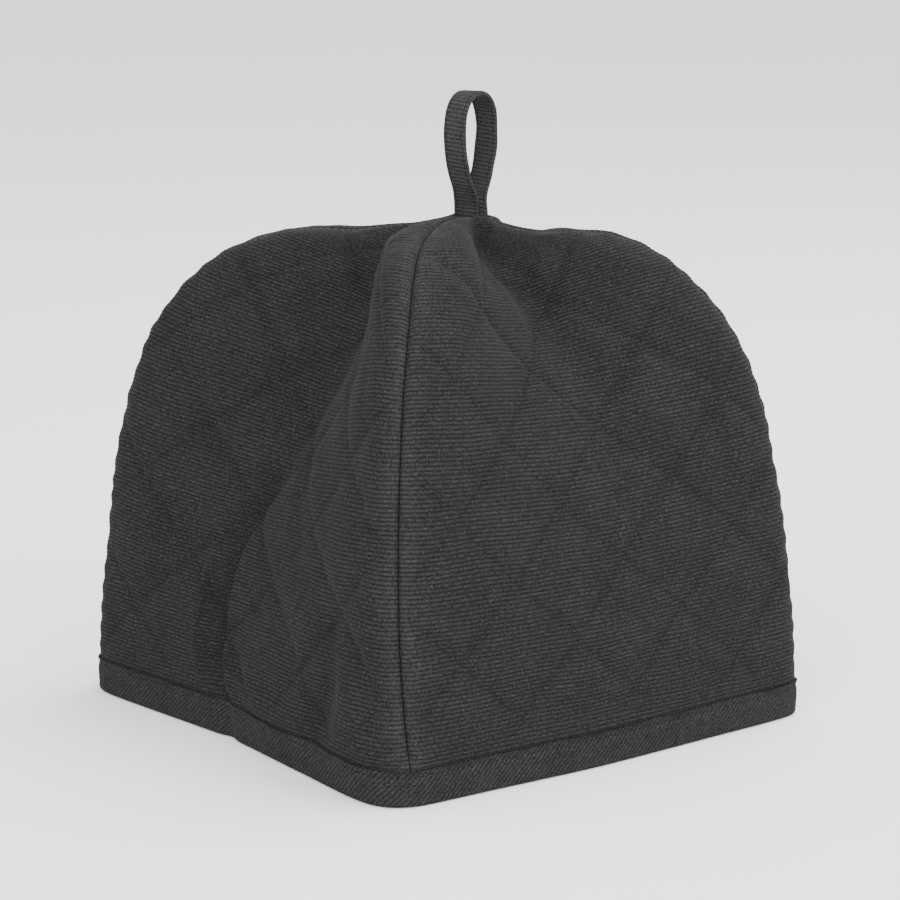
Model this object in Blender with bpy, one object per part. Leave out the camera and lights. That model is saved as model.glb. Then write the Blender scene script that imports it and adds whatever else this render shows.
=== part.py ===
"""A square tea cosy of quilted, ribbed cotton: four panels, a bound hem and a hanging loop.

The script works in metres, with +Z up and the hem on the floor at z = 0. Sizes below are in millimetres. The front
ridge points along -Y and the right one along +X.
"""
import math

import bmesh
import bpy
import numpy as np

MM = 0.001

# %% Sizes
PATTERN_HEIGHT = 245.0  # a panel's cut height, from its hem to the loop
SHELL = 5.0  # the wall, with its wadding
SHELL_AT_LOOP = 3.0
HEM_SHELL = 3.2  # the wall where the binding presses it flat
BINDING_HEIGHT = 13.5
BINDING_PLY = 1.2
TUCK = 1.6  # how far the wall steps back inside the binding
SWELL = 7.0  # how soon above the binding it is back at its full thickness
GAP = 0.3  # between pieces that are sewn to each other
BINDING_GAP = 0.4
SEAM_GROOVE = 1.0
SEAM_GROOVE_WIDTH = 2.2
QUILT_WIDTH = 6.0
LOOP_HEIGHT = 50.0
LOOP_SPREAD = 26.0  # between the strands where they part the most
LOOP_SPLAY = 1.6  # how far the tails stand apart along their width
LOOP_TAIL = 7.0  # what is caught in the seams
STRAP_WIDTH = 10.0
STRAP_PLY = 2.1
STRAP_GAP = 0.4
LOOP_TURN = -22.0  # the strap's width points this way at the top of the loop
APEX_X, APEX_Y, APEX_Z = 11.5, 1.0, 204.0
MOUTH_X, MOUTH_Y = 7.6, 3.1  # half the slot that the strap comes out of

# %% The four ridges
# level: share of the cut height. reach: crest to axis. rise: crest's height. lean: crest's way anticlockwise.
# turn: how far the ridge's nose looks anticlockwise, in degrees.
RIDGES = {
    "right": (0, [
        (0, 147.2, 0, 0, 0), (.06, 147.5, 14.7, 0, 0), (.14, 146.6, 34.3, 0, 0), (.25, 144, 61, 0, 0),
        (.40, 139, 96.5, 0, 0), (.55, 131, 132, 0, 0), (.66, 120, 157.5, 0, 0), (.75, 104, 177, 0, 0),
        (.82, 87, 190, 0, 0), (.88, 66, 197.8, 0, 0), (.93, 44, 198.6, 0, 0), (.97, 24, 197, 0, 0), (1, 8, 203, 0, 0)]),
    "back": (90, [
        (0, 147.3, 0, 0, 0), (.06, 147.3, 14.7, -1, 0), (.14, 146.2, 34.3, -2, 0), (.25, 143.5, 60.5, -3, 0),
        (.40, 138.5, 96.5, -4, 0), (.55, 130, 132, -3, 0), (.66, 118, 156.5, -2, 0), (.75, 102, 175, -1, 0),
        (.82, 85, 188, 0, 0), (.88, 65, 196, 0, 0), (.93, 44, 199, 0, 0), (.97, 24, 201, 0, 0), (1, 8, 203, 0, 0)]),
    "left": (180, [
        (0, 147.3, 0, 0, 0), (.06, 147.5, 14.7, 0, 0), (.14, 146.3, 34.3, 0, 0), (.25, 143.6, 61, 0, 0),
        (.40, 139.2, 96.5, 0, 0), (.55, 131.3, 132.5, 0, 0), (.66, 121, 158, 0, 0), (.75, 106, 177.5, 0, 0),
        (.82, 89.5, 190, 0, 0), (.88, 69, 197, 0, 0), (.93, 48, 198, 0, 0), (.97, 29, 199, 0, 0), (1, 8, 204, 0, 0)]),
    "front": (270, [
        (0, 146.2, 0, 9, 26), (.06, 146.7, 14.7, 8.6, 22), (.14, 146, 34.3, 6.2, 12), (.25, 144, 60.5, 4, 6),
        (.40, 139.5, 96.5, 2.8, 3), (.55, 131.5, 132, 2.4, 0), (.66, 121, 156.5, 1.9, 0), (.75, 105, 176, .6, 0),
        (.82, 87, 189, -1.8, 0), (.88, 66, 197.8, -4.4, 0), (.93, 44, 202.8, -6, 0), (.97, 24, 205.4, -4.5, 0),
        (1, 8, 205, 0, 0)]),
}

# %% The four panels
# level: share of the cut height. across: where the valley lies between the ridges. inset, drop: how far in and down it
# hangs. wide_a, back_a: how far the first ridge's nose reaches into the panel, and how far it falls back there.
# wide_b, back_b: the same at the second ridge.
PANELS = {
    "panel_front_left": ("left", "front", [
        (0, .46, -1.5, 0, 10, 3, 15, 3.5), (.08, .43, 1.5, 0, 10, 4, 16, 4), (.16, .40, 5.5, 2, 11, 4, 15, 4),
        (.24, .37, 9.5, 5, 12, 5, 14, 5), (.33, .355, 14.5, 8, 13, 5, 14, 5), (.45, .40, 21, 12, 14, 5, 14, 5),
        (.57, .455, 28, 16, 14, 5, 14, 5), (.68, .50, 33, 19, 14, 5, 14, 5), (.78, .51, 32, 19, 14, 6, 15, 5),
        (.86, .50, 26, 16, 14, 6, 17, 5), (.92, .50, 17, 11, 12, 5, 17, 5), (.96, .50, 10, 7, 8, 2, 11, 3),
        (1, .50, 2, 1, 3, .3, 3, .3)]),
    "panel_front_right": ("front", "right", [
        (0, .44, -6, 0, 10, 2, 9, 3), (.08, .44, -6, 0, 10, 3, 10, 4), (.16, .44, -6, 1, 11, 4, 11, 4),
        (.28, .46, -4, 3, 13, 4, 12, 4), (.42, .50, 2, 6, 14, 4, 13, 5), (.53, .54, 8, 8, 15, 4, 14, 5),
        (.64, .55, 16, 11, 16, 4, 14, 5), (.75, .54, 22, 14, 18, 4, 14, 6), (.84, .53, 24, 15, 20, 4, 14, 6),
        (.91, .52, 19, 13, 18, 4, 12, 5), (.96, .52, 10, 7, 10, 2.5, 8, 2.5), (1, .50, 2, 1, 3, .3, 3, .3)]),
    "panel_back_right": ("right", "back", [
        (0, .50, 1, 0, 9, 3, 9, 3), (.08, .51, 0, 0, 10, 4, 10, 4), (.16, .52, 0, 0, 11, 4, 11, 4),
        (.28, .53, 3, 0, 13, 5, 13, 5), (.42, .54, 9, 1, 14, 5, 14, 5), (.53, .53, 15, 4, 14, 5, 14, 5),
        (.64, .52, 21, 8, 14, 5, 14, 5), (.75, .51, 25, 12, 14, 6, 14, 6), (.84, .50, 24, 13, 14, 6, 14, 6),
        (.91, .50, 17, 10, 12, 5, 12, 5), (.96, .50, 9, 6, 8, 2, 8, 2), (1, .50, 2, 1, 3, .3, 3, .3)]),
    "panel_back_left": ("back", "left", [
        (0, .50, 0, 0, 9, 3, 9, 3), (.08, .49, -2, 0, 10, 4, 10, 4), (.16, .48, -2, 0, 11, 4, 11, 4),
        (.28, .47, 0, 0, 13, 5, 13, 5), (.42, .48, 5, 0, 14, 5, 14, 5), (.53, .49, 12, 3, 14, 5, 14, 5),
        (.64, .50, 19, 7, 14, 5, 14, 5), (.75, .50, 24, 11, 14, 6, 14, 6), (.84, .50, 23, 12, 14, 6, 14, 6),
        (.91, .50, 17, 10, 12, 5, 12, 5), (.96, .50, 9, 6, 8, 2, 8, 2), (1, .50, 2, 1, 3, .3, 3, .3)]),
}
# falling, rising: where one falling and one rising line of stitches crosses the panel's middle. falling_step,
# rising_step: how much higher the next one crosses. depth: how far they draw the cloth in.
QUILTING = {
    "panel_front_left": (81, 58, 180, 60, 1.6),
    "panel_front_right": (-24, 59, 20, 53, 1.2),
    "panel_back_right": (12, 58, 150, 58, 1.5),
    "panel_back_left": (40, 58, 165, 58, 1.5),
}
# Folds, each a path of (across, up, depth, half width) on the flat panel. A depth under zero stands out. The first
# one of each panel is its main fold.
FOLDS = {
    "panel_front_left": [
        [(7, 178, 0, 9), (0, 150, 2, 8), (-9, 122, 3, 7), (-19, 98, 3.8, 5.6), (-25, 78, 4.2, 4.8),
         (-25, 60, 4.4, 4.4), (-25, 46, 4.4, 4.2), (-24, 33, 4.2, 4.2), (-20, 20, 3.4, 4.6), (-13, 8, 2.0, 5),
         (-8, -12, 1.2, 5.5)],
        [(-24, 92, 0, 6), (-30, 74, 1.4, 6), (-32, 59, 1.8, 6), (-32, 46, 1.8, 6), (-31, 33, 1.8, 6),
         (-26, 20, 1.2, 6), (-19, 10, 0, 6)],
        [(-14, 94, 0, 4), (-18, 74, -1, 4), (-18.5, 58, -1.6, 3.8), (-18, 46, -1.6, 3.8), (-17.5, 33, -1.6, 3.8),
         (-13, 20, -1.2, 4), (-6, 10, -.6, 4), (0, 4, 0, 4)],
        [(-32, 96, 0, 3.5), (-38, 76, -1.1, 3.2), (-40, 60, -1.5, 3), (-39, 47, -1.5, 3), (-38, 36, -1.5, 3),
         (-34, 22, -1.2, 3), (-26, 10, 0, 3.5)],
        [(65, 80, 0, 9), (66, 55, 2.2, 9), (63, 34, 3, 8.5), (54, 16, 2, 8), (50, 8, .5, 8)],
        [(74, 52, 0, 6), (80, 34, -1.6, 6), (90, 20, -1, 6), (94, 12, 0, 6)],
        [(-8, 34, 0, 6), (4, 22, -2.2, 6), (16, 18, -2.4, 6), (34, 17, -1.4, 6), (44, 18, 0, 6)],
        [(4, 152, 0, 5), (16, 118, 1.4, 5.5), (26, 100, 1.4, 6), (38, 84, 0, 6)],
        [(-16, 71, 0, 3.5), (-8, 64, 1.3, 3.5), (6, 56, 1.3, 3.5), (24, 48, .8, 4), (40, 42, 0, 4)],
    ],
    "panel_front_right": [
        [(52, 150, 0, 4.5), (63, 130, 1.4, 4.5), (67, 108, 1.4, 4.5), (65, 88, 0, 4.5)],
        [(62, 98, 0, 4), (70, 80, 1, 4), (66, 56, 1, 4), (52, 34, 0, 4)],
        [(-2, 226, 0, 8), (-7, 204, -1.2, 8), (-7, 184, -1.5, 9), (-3, 165, -1.4, 9), (2, 146, -1.2, 9),
         (9, 126, -.8, 9), (20, 104, 0, 9)],
        [(16, 226, 0, 6), (13, 204, 1.6, 6), (13, 186, 1.8, 6.5), (18, 168, 1.3, 6.5), (25, 148, 1.0, 6.5),
         (33, 128, .8, 6.5), (46, 108, .5, 6.5), (60, 90, 0, 6.5)],
    ],
    "panel_back_right": [
        [(2, 176, 0, 9), (6, 140, 2.5, 8), (10, 110, 2.5, 7), (20, 84, 0, 7)],
        [(-60, 120, 0, 6), (-66, 96, 1.5, 6), (-60, 70, 1.5, 6), (-50, 52, 0, 6)],
        [(30, 46, 0, 7), (36, 28, 2, 7), (30, 10, 1, 7), (28, -12, .8, 7)],
    ],
    "panel_back_left": [
        [(-2, 178, 0, 9), (-6, 140, 2.5, 8), (-14, 108, 3, 7), (-28, 80, 0, 7)],
        [(58, 130, 0, 6), (64, 104, 1.5, 6), (60, 76, 1.5, 6), (48, 56, 0, 6)],
    ],
}

# %% How finely each piece is divided
BOUND_ROWS = [4.5, 9.0, BINDING_HEIGHT]
ROWS = [1.7] + BOUND_ROWS + [14.2, 16.0, 18.5, 22.0] + [29.5 + 8.8 * k for k in range(21)]
ROWS += [212.5, 219.0, 225.0, 230.5, 235.0, 239.5, 245.0]
COLUMNS = 22
FOLD_COLUMNS = [-15.0, -10.0, -6.0, -3.0, 0.0, 3.0, 6.0, 10.0, 15.0]
EDGE_COLUMNS = [0.0, 2.4, 5.5]


def smooth(rows, at):
    """The other columns of a table at these values of its first one, on a smooth curve through its rows."""
    table = np.array(rows, float)
    x, y = table[:, 0], table[:, 1:]
    slope = np.gradient(y, x, axis=0)
    k = np.clip(np.searchsorted(x, at) - 1, 0, len(x) - 2)
    width = (x[k + 1] - x[k])[:, None]
    t = (np.asarray(at, float) - x[k])[:, None] / width
    start = (2 * t**3 - 3 * t**2 + 1) * y[k] + (t**3 - 2 * t**2 + t) * width * slope[k]
    return start + (3 * t**2 - 2 * t**3) * y[k + 1] + (t**3 - t**2) * width * slope[k + 1]


def ease(t):
    """0 to 1 with a soft start and end."""
    t = np.clip(t, 0, 1)
    return t * t * (3 - 2 * t)


def compass(degrees):
    """The level direction that points this many degrees anticlockwise from +X."""
    a = np.radians(np.asarray(degrees, float))
    return np.stack([np.cos(a), np.sin(a), np.zeros_like(a)], axis=-1)


def crest(name, level):
    """A ridge's crest at these levels, the way that its nose looks and the way across it."""
    bearing, rows = RIDGES[name]
    reach, rise, lean, turn = smooth(rows, level).T
    place = reach[:, None] * compass(bearing) + lean[:, None] * compass(bearing + 90)
    toward_apex = np.clip(level, 0, 1)**8
    place += np.stack([APEX_X * toward_apex, APEX_Y * toward_apex, rise], axis=1)
    return place, compass(bearing + turn), compass(bearing + turn + 90)


def spline(control, samples):
    """A smooth line for each row of control points."""
    spans = control.shape[1] - 3
    t = np.linspace(0, spans, samples)
    k = np.minimum(t.astype(int), spans - 1)
    f = (t - k)[None, :, None]
    a, b, c, d = (control[:, k + i] for i in range(4))
    return ((1 - f)**3 * a + (3 * f**3 - 6 * f**2 + 4) * b + (-3 * f**3 + 3 * f**2 + 3 * f + 1) * c + f**3 * d) / 6


def slot_edge(first, level_count, samples):
    """The quarter of the slot round the strap that lies between two ridges."""
    a = np.radians(RIDGES[first][0] + 90 * np.linspace(0, 1, samples))
    size = (abs(np.cos(a) / MOUTH_X)**4 + abs(np.sin(a) / MOUTH_Y)**4)**-0.25
    ring = np.stack([APEX_X + size * np.cos(a), APEX_Y + size * np.sin(a), np.full(samples, APEX_Z)], axis=1)
    return np.broadcast_to(ring, (level_count, samples, 3))


def rib_lines(panel, level, samples=301):
    """The cloth's rib at each level, as a fine line from seam to seam."""
    first, second, rows = PANELS[panel]
    a, out_a, side_a = crest(first, level)
    b, out_b, side_b = crest(second, level)
    across, inset, drop, wide_a, back_a, wide_b, back_b = (c[:, None] for c in smooth(rows, level).T)
    inward = -compass(RIDGES[first][0] + 45)
    valley = a + across * (b - a) + inset * inward - drop * np.array([0, 0, 1.0])
    a1 = a - back_a * out_a + wide_a * side_a
    b1 = b - back_b * out_b - wide_b * side_b
    a2, b2 = (p + .30 * (valley - p) - .06 * inset * inward for p in (a1, b1))
    a3, b3 = (p + .74 * (valley - p) for p in (a1, b1))
    a0, b0 = a + back_a / 3 * out_a, b + back_b / 3 * out_b
    control = [a1 - 2 * wide_a * side_a, a0, a1, a2, a3, valley, b3, b2, b1, b0, b1 + 2 * wide_b * side_b]
    line = spline(np.stack(control, axis=1), samples)
    near_loop = ease((np.asarray(level) - .94) / .06)[:, None, None]
    return line * (1 - near_loop) + slot_edge(first, len(line), samples) * near_loop


def along_rows(line, share):
    """Points at these shares of each row's length, and the rows' lengths."""
    step = np.linalg.norm(np.diff(line, axis=1), axis=2)
    run = np.concatenate([np.zeros((len(line), 1)), np.cumsum(step, axis=1)], axis=1)
    length = run[:, -1]
    share = np.broadcast_to(share, (len(line), np.shape(share)[-1]))
    place = [[np.interp(s * total, r, row[:, k]) for k in range(3)] for s, total, r, row in
             zip(share, length, run, line)]
    return np.array(place).transpose(0, 2, 1), length


def outward(points, name, level):
    """The unit normals of a panel's grid, square to the seam's rim at both ends."""
    along, up = np.gradient(points, axis=1), np.gradient(points, axis=0)
    first, second, _ = PANELS[name]
    along[:, 0], along[:, -1] = crest(first, level)[2], crest(second, level)[2]
    n = np.cross(along, up)
    n /= np.maximum(np.linalg.norm(n, axis=2, keepdims=True), 1e-9)
    n[..., 2] *= ease((np.asarray(level) * PATTERN_HEIGHT - BINDING_HEIGHT - 2) / 25)[:, None]
    upright = ease((np.asarray(level) - .86) / .10)[:, None, None]
    n = n * (1 - upright) + np.array([0, 0, 1.0]) * upright
    return n / np.linalg.norm(n, axis=2, keepdims=True)


def fold(x, y, rows, widen=0.0):
    """How far one fold draws the cloth in: a row of soft dents along its path, which add up to one groove."""
    count = np.arange(len(rows))
    path = smooth(np.column_stack([count, rows]), np.linspace(0, count[-1], 8 * count[-1] + 1))
    sink = np.zeros(x.shape)
    for here, there in zip(path[:-1], path[1:]):
        across, up, depth, width = (here + there) / 2
        share = math.hypot(*(there - here)[:2]) / ((width + widen) * math.sqrt(math.pi))
        sink = sink + depth * share * np.exp(-((x - across)**2 + (y - up)**2) / (width + widen)**2)
    return sink


def quilting(panel, x, y, edge):
    """How far the stitched diamonds draw the cloth in."""
    falling, falling_step, rising, rising_step, depth = QUILTING[panel]
    u, v = (x + y - falling) / falling_step, (y - x - rising) / rising_step
    away = np.minimum(abs(u - np.round(u)) * falling_step, abs(v - np.round(v)) * rising_step) / math.sqrt(2)
    fade = np.clip(edge / 12, 0, 1) * np.clip((y - 16) / 10, 0, 1)
    return depth * np.exp(-(away / QUILT_WIDTH)**2) * fade


def panel_faces(panel, heights, share):
    """The outer and inner faces of a panel as grids, one row for each height on the flat cloth."""
    level = np.asarray(heights, float) / PATTERN_HEIGHT
    base, length = along_rows(rib_lines(panel, level), share)
    normal = outward(base, panel, level)
    share = np.broadcast_to(share, base.shape[:2])
    x, y = (share - .5) * length[:, None], np.broadcast_to(np.asarray(heights, float)[:, None], base.shape[:2])
    edge = length[:, None] / 2 - abs(x)
    fade = ease(edge / 8)
    bound = 1 - ease((y - 14.1) / SWELL)
    outer = TUCK * bound + quilting(panel, x, y, edge)
    outer = outer + SEAM_GROOVE * np.exp(-(edge / SEAM_GROOVE_WIDTH)**2) * (1 - bound)
    inner = SHELL - (SHELL - TUCK - HEM_SHELL) * bound
    inner = inner - (SHELL - SHELL_AT_LOOP) * ease((y / PATTERN_HEIGHT - .88) / .08)
    for rows in FOLDS[panel]:
        sink = fold(x, y, rows) * fade
        outer = outer + sink
        wide = fold(x, y, rows, widen=4.0) * fade
        inner = inner + np.where(bound > .5, sink, np.maximum(wide * .9, 0))
    return base - normal * outer[..., None], base - normal * inner[..., None]


def fold_place(panel, heights):
    """Where the panel's deepest fold lies across each row."""
    rows = np.array(FOLDS[panel][0], float)
    order = np.argsort(rows[:, 1])
    return np.interp(heights, rows[order, 1], rows[order, 0])


def shares(panel, heights):
    """Where the columns stand in each row: close together at the seams and, on the folded panel, round its fold."""
    length = along_rows(rib_lines(panel, np.asarray(heights) / PATTERN_HEIGHT), np.array([0.0, 1.0]))[1]
    rows = []
    for total, at_fold in zip(length, fold_place(panel, heights)):
        edge = np.array(EDGE_COLUMNS) * min(1, total / 105)
        if panel == "panel_front_left":
            middle = total / 2 + (at_fold + np.array(FOLD_COLUMNS)) * min(1, total / 160)
            left = np.linspace(edge[-1], middle[0], 8)[1:-1]
            right = np.linspace(middle[-1], total - edge[-1], 9)[1:-1]
            place = np.concatenate([edge, left, middle, right, total - edge[::-1]])
        else:
            place = np.concatenate([edge, np.linspace(edge[-1], total - edge[-1], COLUMNS - 4)[1:-1],
                                    total - edge[::-1]])
        even = 1 - ease(total / 100)
        rows.append(place / total * (1 - even) + np.linspace(0, 1, len(place)) * even)
    return np.array(rows)


def add_object(name, points, faces):
    """A mesh object made of these points, given in millimetres."""
    mesh = bpy.data.meshes.new(name)
    mesh.from_pydata([tuple(p) for p in np.asarray(points) * MM], [], faces)
    work = bmesh.new()
    work.from_mesh(mesh)
    bmesh.ops.triangulate(work, faces=work.faces)
    bmesh.ops.recalc_face_normals(work, faces=work.faces)
    work.to_mesh(mesh)
    work.free()
    thing = bpy.data.objects.new(name, mesh)
    bpy.context.scene.collection.objects.link(thing)
    return thing


def halves(a, b, c, d):
    """The two triangles of a face with corners a, b, c and d, parted from a to c."""
    return [[a, b, c], [a, c, d]]


def shell_faces(rows, columns):
    """The faces of a slab whose outer grid's points come first and its inner grid's next."""
    size = rows * columns
    faces = []
    for side in (0, size):
        for r in range(rows - 1):
            for c in range(columns - 1):
                corner = side + r * columns + c
                faces += halves(corner, corner + 1, corner + columns + 1, corner + columns)
    rim = list(range(columns)) + [r * columns + columns - 1 for r in range(1, rows)]
    rim += [(rows - 1) * columns + c for c in range(columns - 2, -1, -1)]
    rim += [r * columns for r in range(rows - 2, 0, -1)]
    faces += [[here, here + size, there + size, there] for here, there in zip(rim, rim[1:] + rim[:1])]
    return faces


def seam_gap(faces, panel, heights):
    """Moves a panel's two seam edges off their ridges' middle planes."""
    level = np.asarray(heights, float) / PATTERN_HEIGHT
    first, second, _ = PANELS[panel]
    side_a, side_b = crest(first, level)[2], crest(second, level)[2]
    for grid in faces:
        grid[:, 0] += side_a * GAP / 2
        grid[:, -1] -= side_b * GAP / 2
    return faces


def add_panel(panel):
    heights = np.array(ROWS)
    outer, inner = seam_gap(panel_faces(panel, heights, shares(panel, heights)), panel, heights)
    points = np.concatenate([outer.reshape(-1, 3), inner.reshape(-1, 3)])
    return add_object(panel, points, shell_faces(*outer.shape[:2]))


def binding_section(panel):
    """The binding's closed cross-section at each column of one panel's hem, as a grid."""
    heights = np.array([1.3] + BOUND_ROWS)
    outer, inner = (grid[:, :-1] for grid in panel_faces(panel, heights, shares(panel, heights)))
    across = outer - inner
    across[..., 2] = 0
    across /= np.linalg.norm(across, axis=2, keepdims=True)
    for grid in (outer, inner):
        grid[..., 2] = heights[:, None]
    out_in, in_in = outer + across * BINDING_GAP, inner - across * BINDING_GAP
    bulge = np.array([.92, 1, 1.08, .8])[:, None, None]
    out_out, in_out = out_in + across * BINDING_PLY * bulge, in_in - across * BINDING_PLY * bulge
    foot_out, foot_in = out_out[0] - across[0] * .5, in_out[0] + across[0] * .5
    foot_out[:, 2] = foot_in[:, 2] = 0
    heel_out, heel_in = out_out[0].copy(), in_out[0].copy()
    heel_out[:, 2] = heel_in[:, 2] = .8
    return np.concatenate([foot_in[None], foot_out[None], heel_out[None], out_out[1:], out_in[::-1], in_in,
                           in_out[:0:-1], heel_in[None]])


def add_binding():
    """One folded strip round the hem, sewn into a ring."""
    grid = np.concatenate([binding_section(panel) for panel in PANELS], axis=1)
    turns, columns = grid.shape[:2]
    faces = []
    walled = range(len(BOUND_ROWS) + 3, 2 * len(BOUND_ROWS) + 3)  # here the rows run down, as against the panel's
    for t in range(turns):
        for c in range(columns):
            corners = [(t, c), (t, (c + 1) % columns), ((t + 1) % turns, (c + 1) % columns), ((t + 1) % turns, c)]
            corners = [row * columns + column for row, column in corners]
            faces += halves(*(corners[1:] + corners[:1] if t in walled else corners))
    return add_object("binding", grid.reshape(-1, 3), faces)


def loop_path(samples):
    """The strap's middle line, as (toward the front strand, up), from one tail to the other."""
    half = (STRAP_PLY + STRAP_GAP) / 2
    share = [(4, .16), (9, .36), (14, .60), (19, .78), (25, .93), (31, 1.0), (37, .99), (42, .89), (46, .66),
             (48.3, .34)]
    side = [(-LOOP_TAIL, half), (0, half)] + [(z, LOOP_SPREAD / 2 * wide) for z, wide in share]
    points = [(x, z) for z, x in side] + [(0, LOOP_HEIGHT - STRAP_PLY / 2)] + [(-x, z) for z, x in reversed(side)]
    points = np.array(points)
    run = np.concatenate([[0], np.cumsum(np.linalg.norm(np.diff(points, axis=0), axis=1))])
    at = np.linspace(0, run[-1], samples)
    return smooth(np.column_stack([run, points]), at)


def add_loop():
    """A folded strap, caught in the seams at its two ends."""
    line = loop_path(49)
    way = np.gradient(line, axis=0)
    way /= np.linalg.norm(way, axis=1, keepdims=True)
    rounded = [(-1, -.5), (-.84, -1), (.84, -1), (1, -.5), (1, .5), (.84, 1), (-.84, 1), (-1, .5)]
    points = []
    for (x, z), (wx, wz) in zip(line, way):
        turn = LOOP_TURN * ease(z / 18)
        width_way, front = compass(turn), compass(turn - 90)
        for w, t in rounded:
            off = x - wz * t * STRAP_PLY / 2
            up = z + wx * t * STRAP_PLY / 2
            sideways = w * STRAP_WIDTH / 2 - np.sign(x) * LOOP_SPLAY * (1 - ease(z / 20))
            place = np.array([APEX_X, APEX_Y, APEX_Z + up]) + front * off + width_way * sideways
            points.append(place)
    turns, size = len(line), len(rounded)
    faces = [[r * size + k, r * size + (k + 1) % size, (r + 1) * size + (k + 1) % size, (r + 1) * size + k]
             for r in range(turns - 1) for k in range(size)]
    faces += [list(range(size))[::-1], [(turns - 1) * size + k for k in range(size)]]
    return add_object("loop", points, faces)


def main():
    for thing in list(bpy.data.objects):
        bpy.data.objects.remove(thing, do_unlink=True)
    for panel in PANELS:
        add_panel(panel)
    add_binding()
    add_loop()


main()
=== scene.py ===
# %% [markdown]
# A tea cosy is a padded cover that keeps a teapot hot. This one is sewn from four quilted panels of ribbed cotton,
# its hem is bound with a strip cut on the bias, and a loop of the same cloth stands on top to hang it by.
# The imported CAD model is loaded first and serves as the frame: what is made here stands where its solid stands.
# %% Load the frame
import math

import bpy
import numpy as np
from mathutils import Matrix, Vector


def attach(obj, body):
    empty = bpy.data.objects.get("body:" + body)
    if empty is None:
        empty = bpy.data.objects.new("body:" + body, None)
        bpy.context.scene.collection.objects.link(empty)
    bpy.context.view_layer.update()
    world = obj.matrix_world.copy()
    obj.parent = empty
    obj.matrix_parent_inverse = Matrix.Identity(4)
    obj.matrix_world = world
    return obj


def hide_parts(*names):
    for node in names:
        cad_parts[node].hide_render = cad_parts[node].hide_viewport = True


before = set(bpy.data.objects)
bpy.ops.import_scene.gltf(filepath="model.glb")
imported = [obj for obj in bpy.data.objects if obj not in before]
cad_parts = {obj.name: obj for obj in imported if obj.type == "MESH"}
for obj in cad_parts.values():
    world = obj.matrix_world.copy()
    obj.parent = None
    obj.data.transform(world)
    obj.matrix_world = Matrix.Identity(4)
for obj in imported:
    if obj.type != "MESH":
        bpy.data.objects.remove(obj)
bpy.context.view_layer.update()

# %% [markdown]
# The camera comes early, because it settles how much detail shows. A long lens from more than a metre away keeps
# the lines nearly parallel, as in a catalogue picture. It could be turned by hand, but here its place follows from
# the point it looks at and two angles, and to_track_quat turns its minus Z axis that way.
# %% Camera
TARGET = Vector((0.0031, 0.0, 0.1063))
AZIMUTH = math.radians(7.81)
ELEVATION = math.radians(11.28)
DISTANCE = 1.225
LENS = 118.8

level = math.cos(ELEVATION)
toward_camera = Vector((math.sin(AZIMUTH) * level, -math.cos(AZIMUTH) * level, math.sin(ELEVATION)))
bpy.ops.object.camera_add(location=TARGET + toward_camera * DISTANCE)
camera = bpy.context.object
camera.rotation_euler = (-toward_camera).to_track_quat("-Z", "Y").to_euler()
camera.data.lens = LENS
bpy.context.scene.camera = camera
print("camera at", [round(x, 3) for x in camera.location])

# %% [markdown]
# Cloth has few sizes of its own: the height and width of the cut pieces, the thickness of the wadding, and the
# places of seams and folds. They are written in millimetres, as a maker would, and turned into metres when a mesh
# is made.
# %% Sizes
MM = 0.001
PATTERN_HEIGHT = 245.0  # a panel's cut height, from its hem to the loop
SHELL = 5.0  # the wall, with its wadding
SHELL_AT_LOOP = 3.0
HEM_SHELL = 3.2  # the wall where the binding presses it flat
BINDING_HEIGHT = 13.5
BINDING_PLY = 1.2
TUCK = 1.6  # how far the wall steps back inside the binding
SWELL = 7.0  # how soon above the binding it is back at its full thickness
GAP = 0.3  # between pieces that are sewn to each other
BINDING_GAP = 0.4
APEX_X, APEX_Y, APEX_Z = 11.5, 1.0, 204.0
MOUTH_X, MOUTH_Y = 7.6, 3.1  # half the slot that the strap comes out of
print("the panels are cut", PATTERN_HEIGHT, "mm high and", SHELL, "mm thick")

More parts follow.
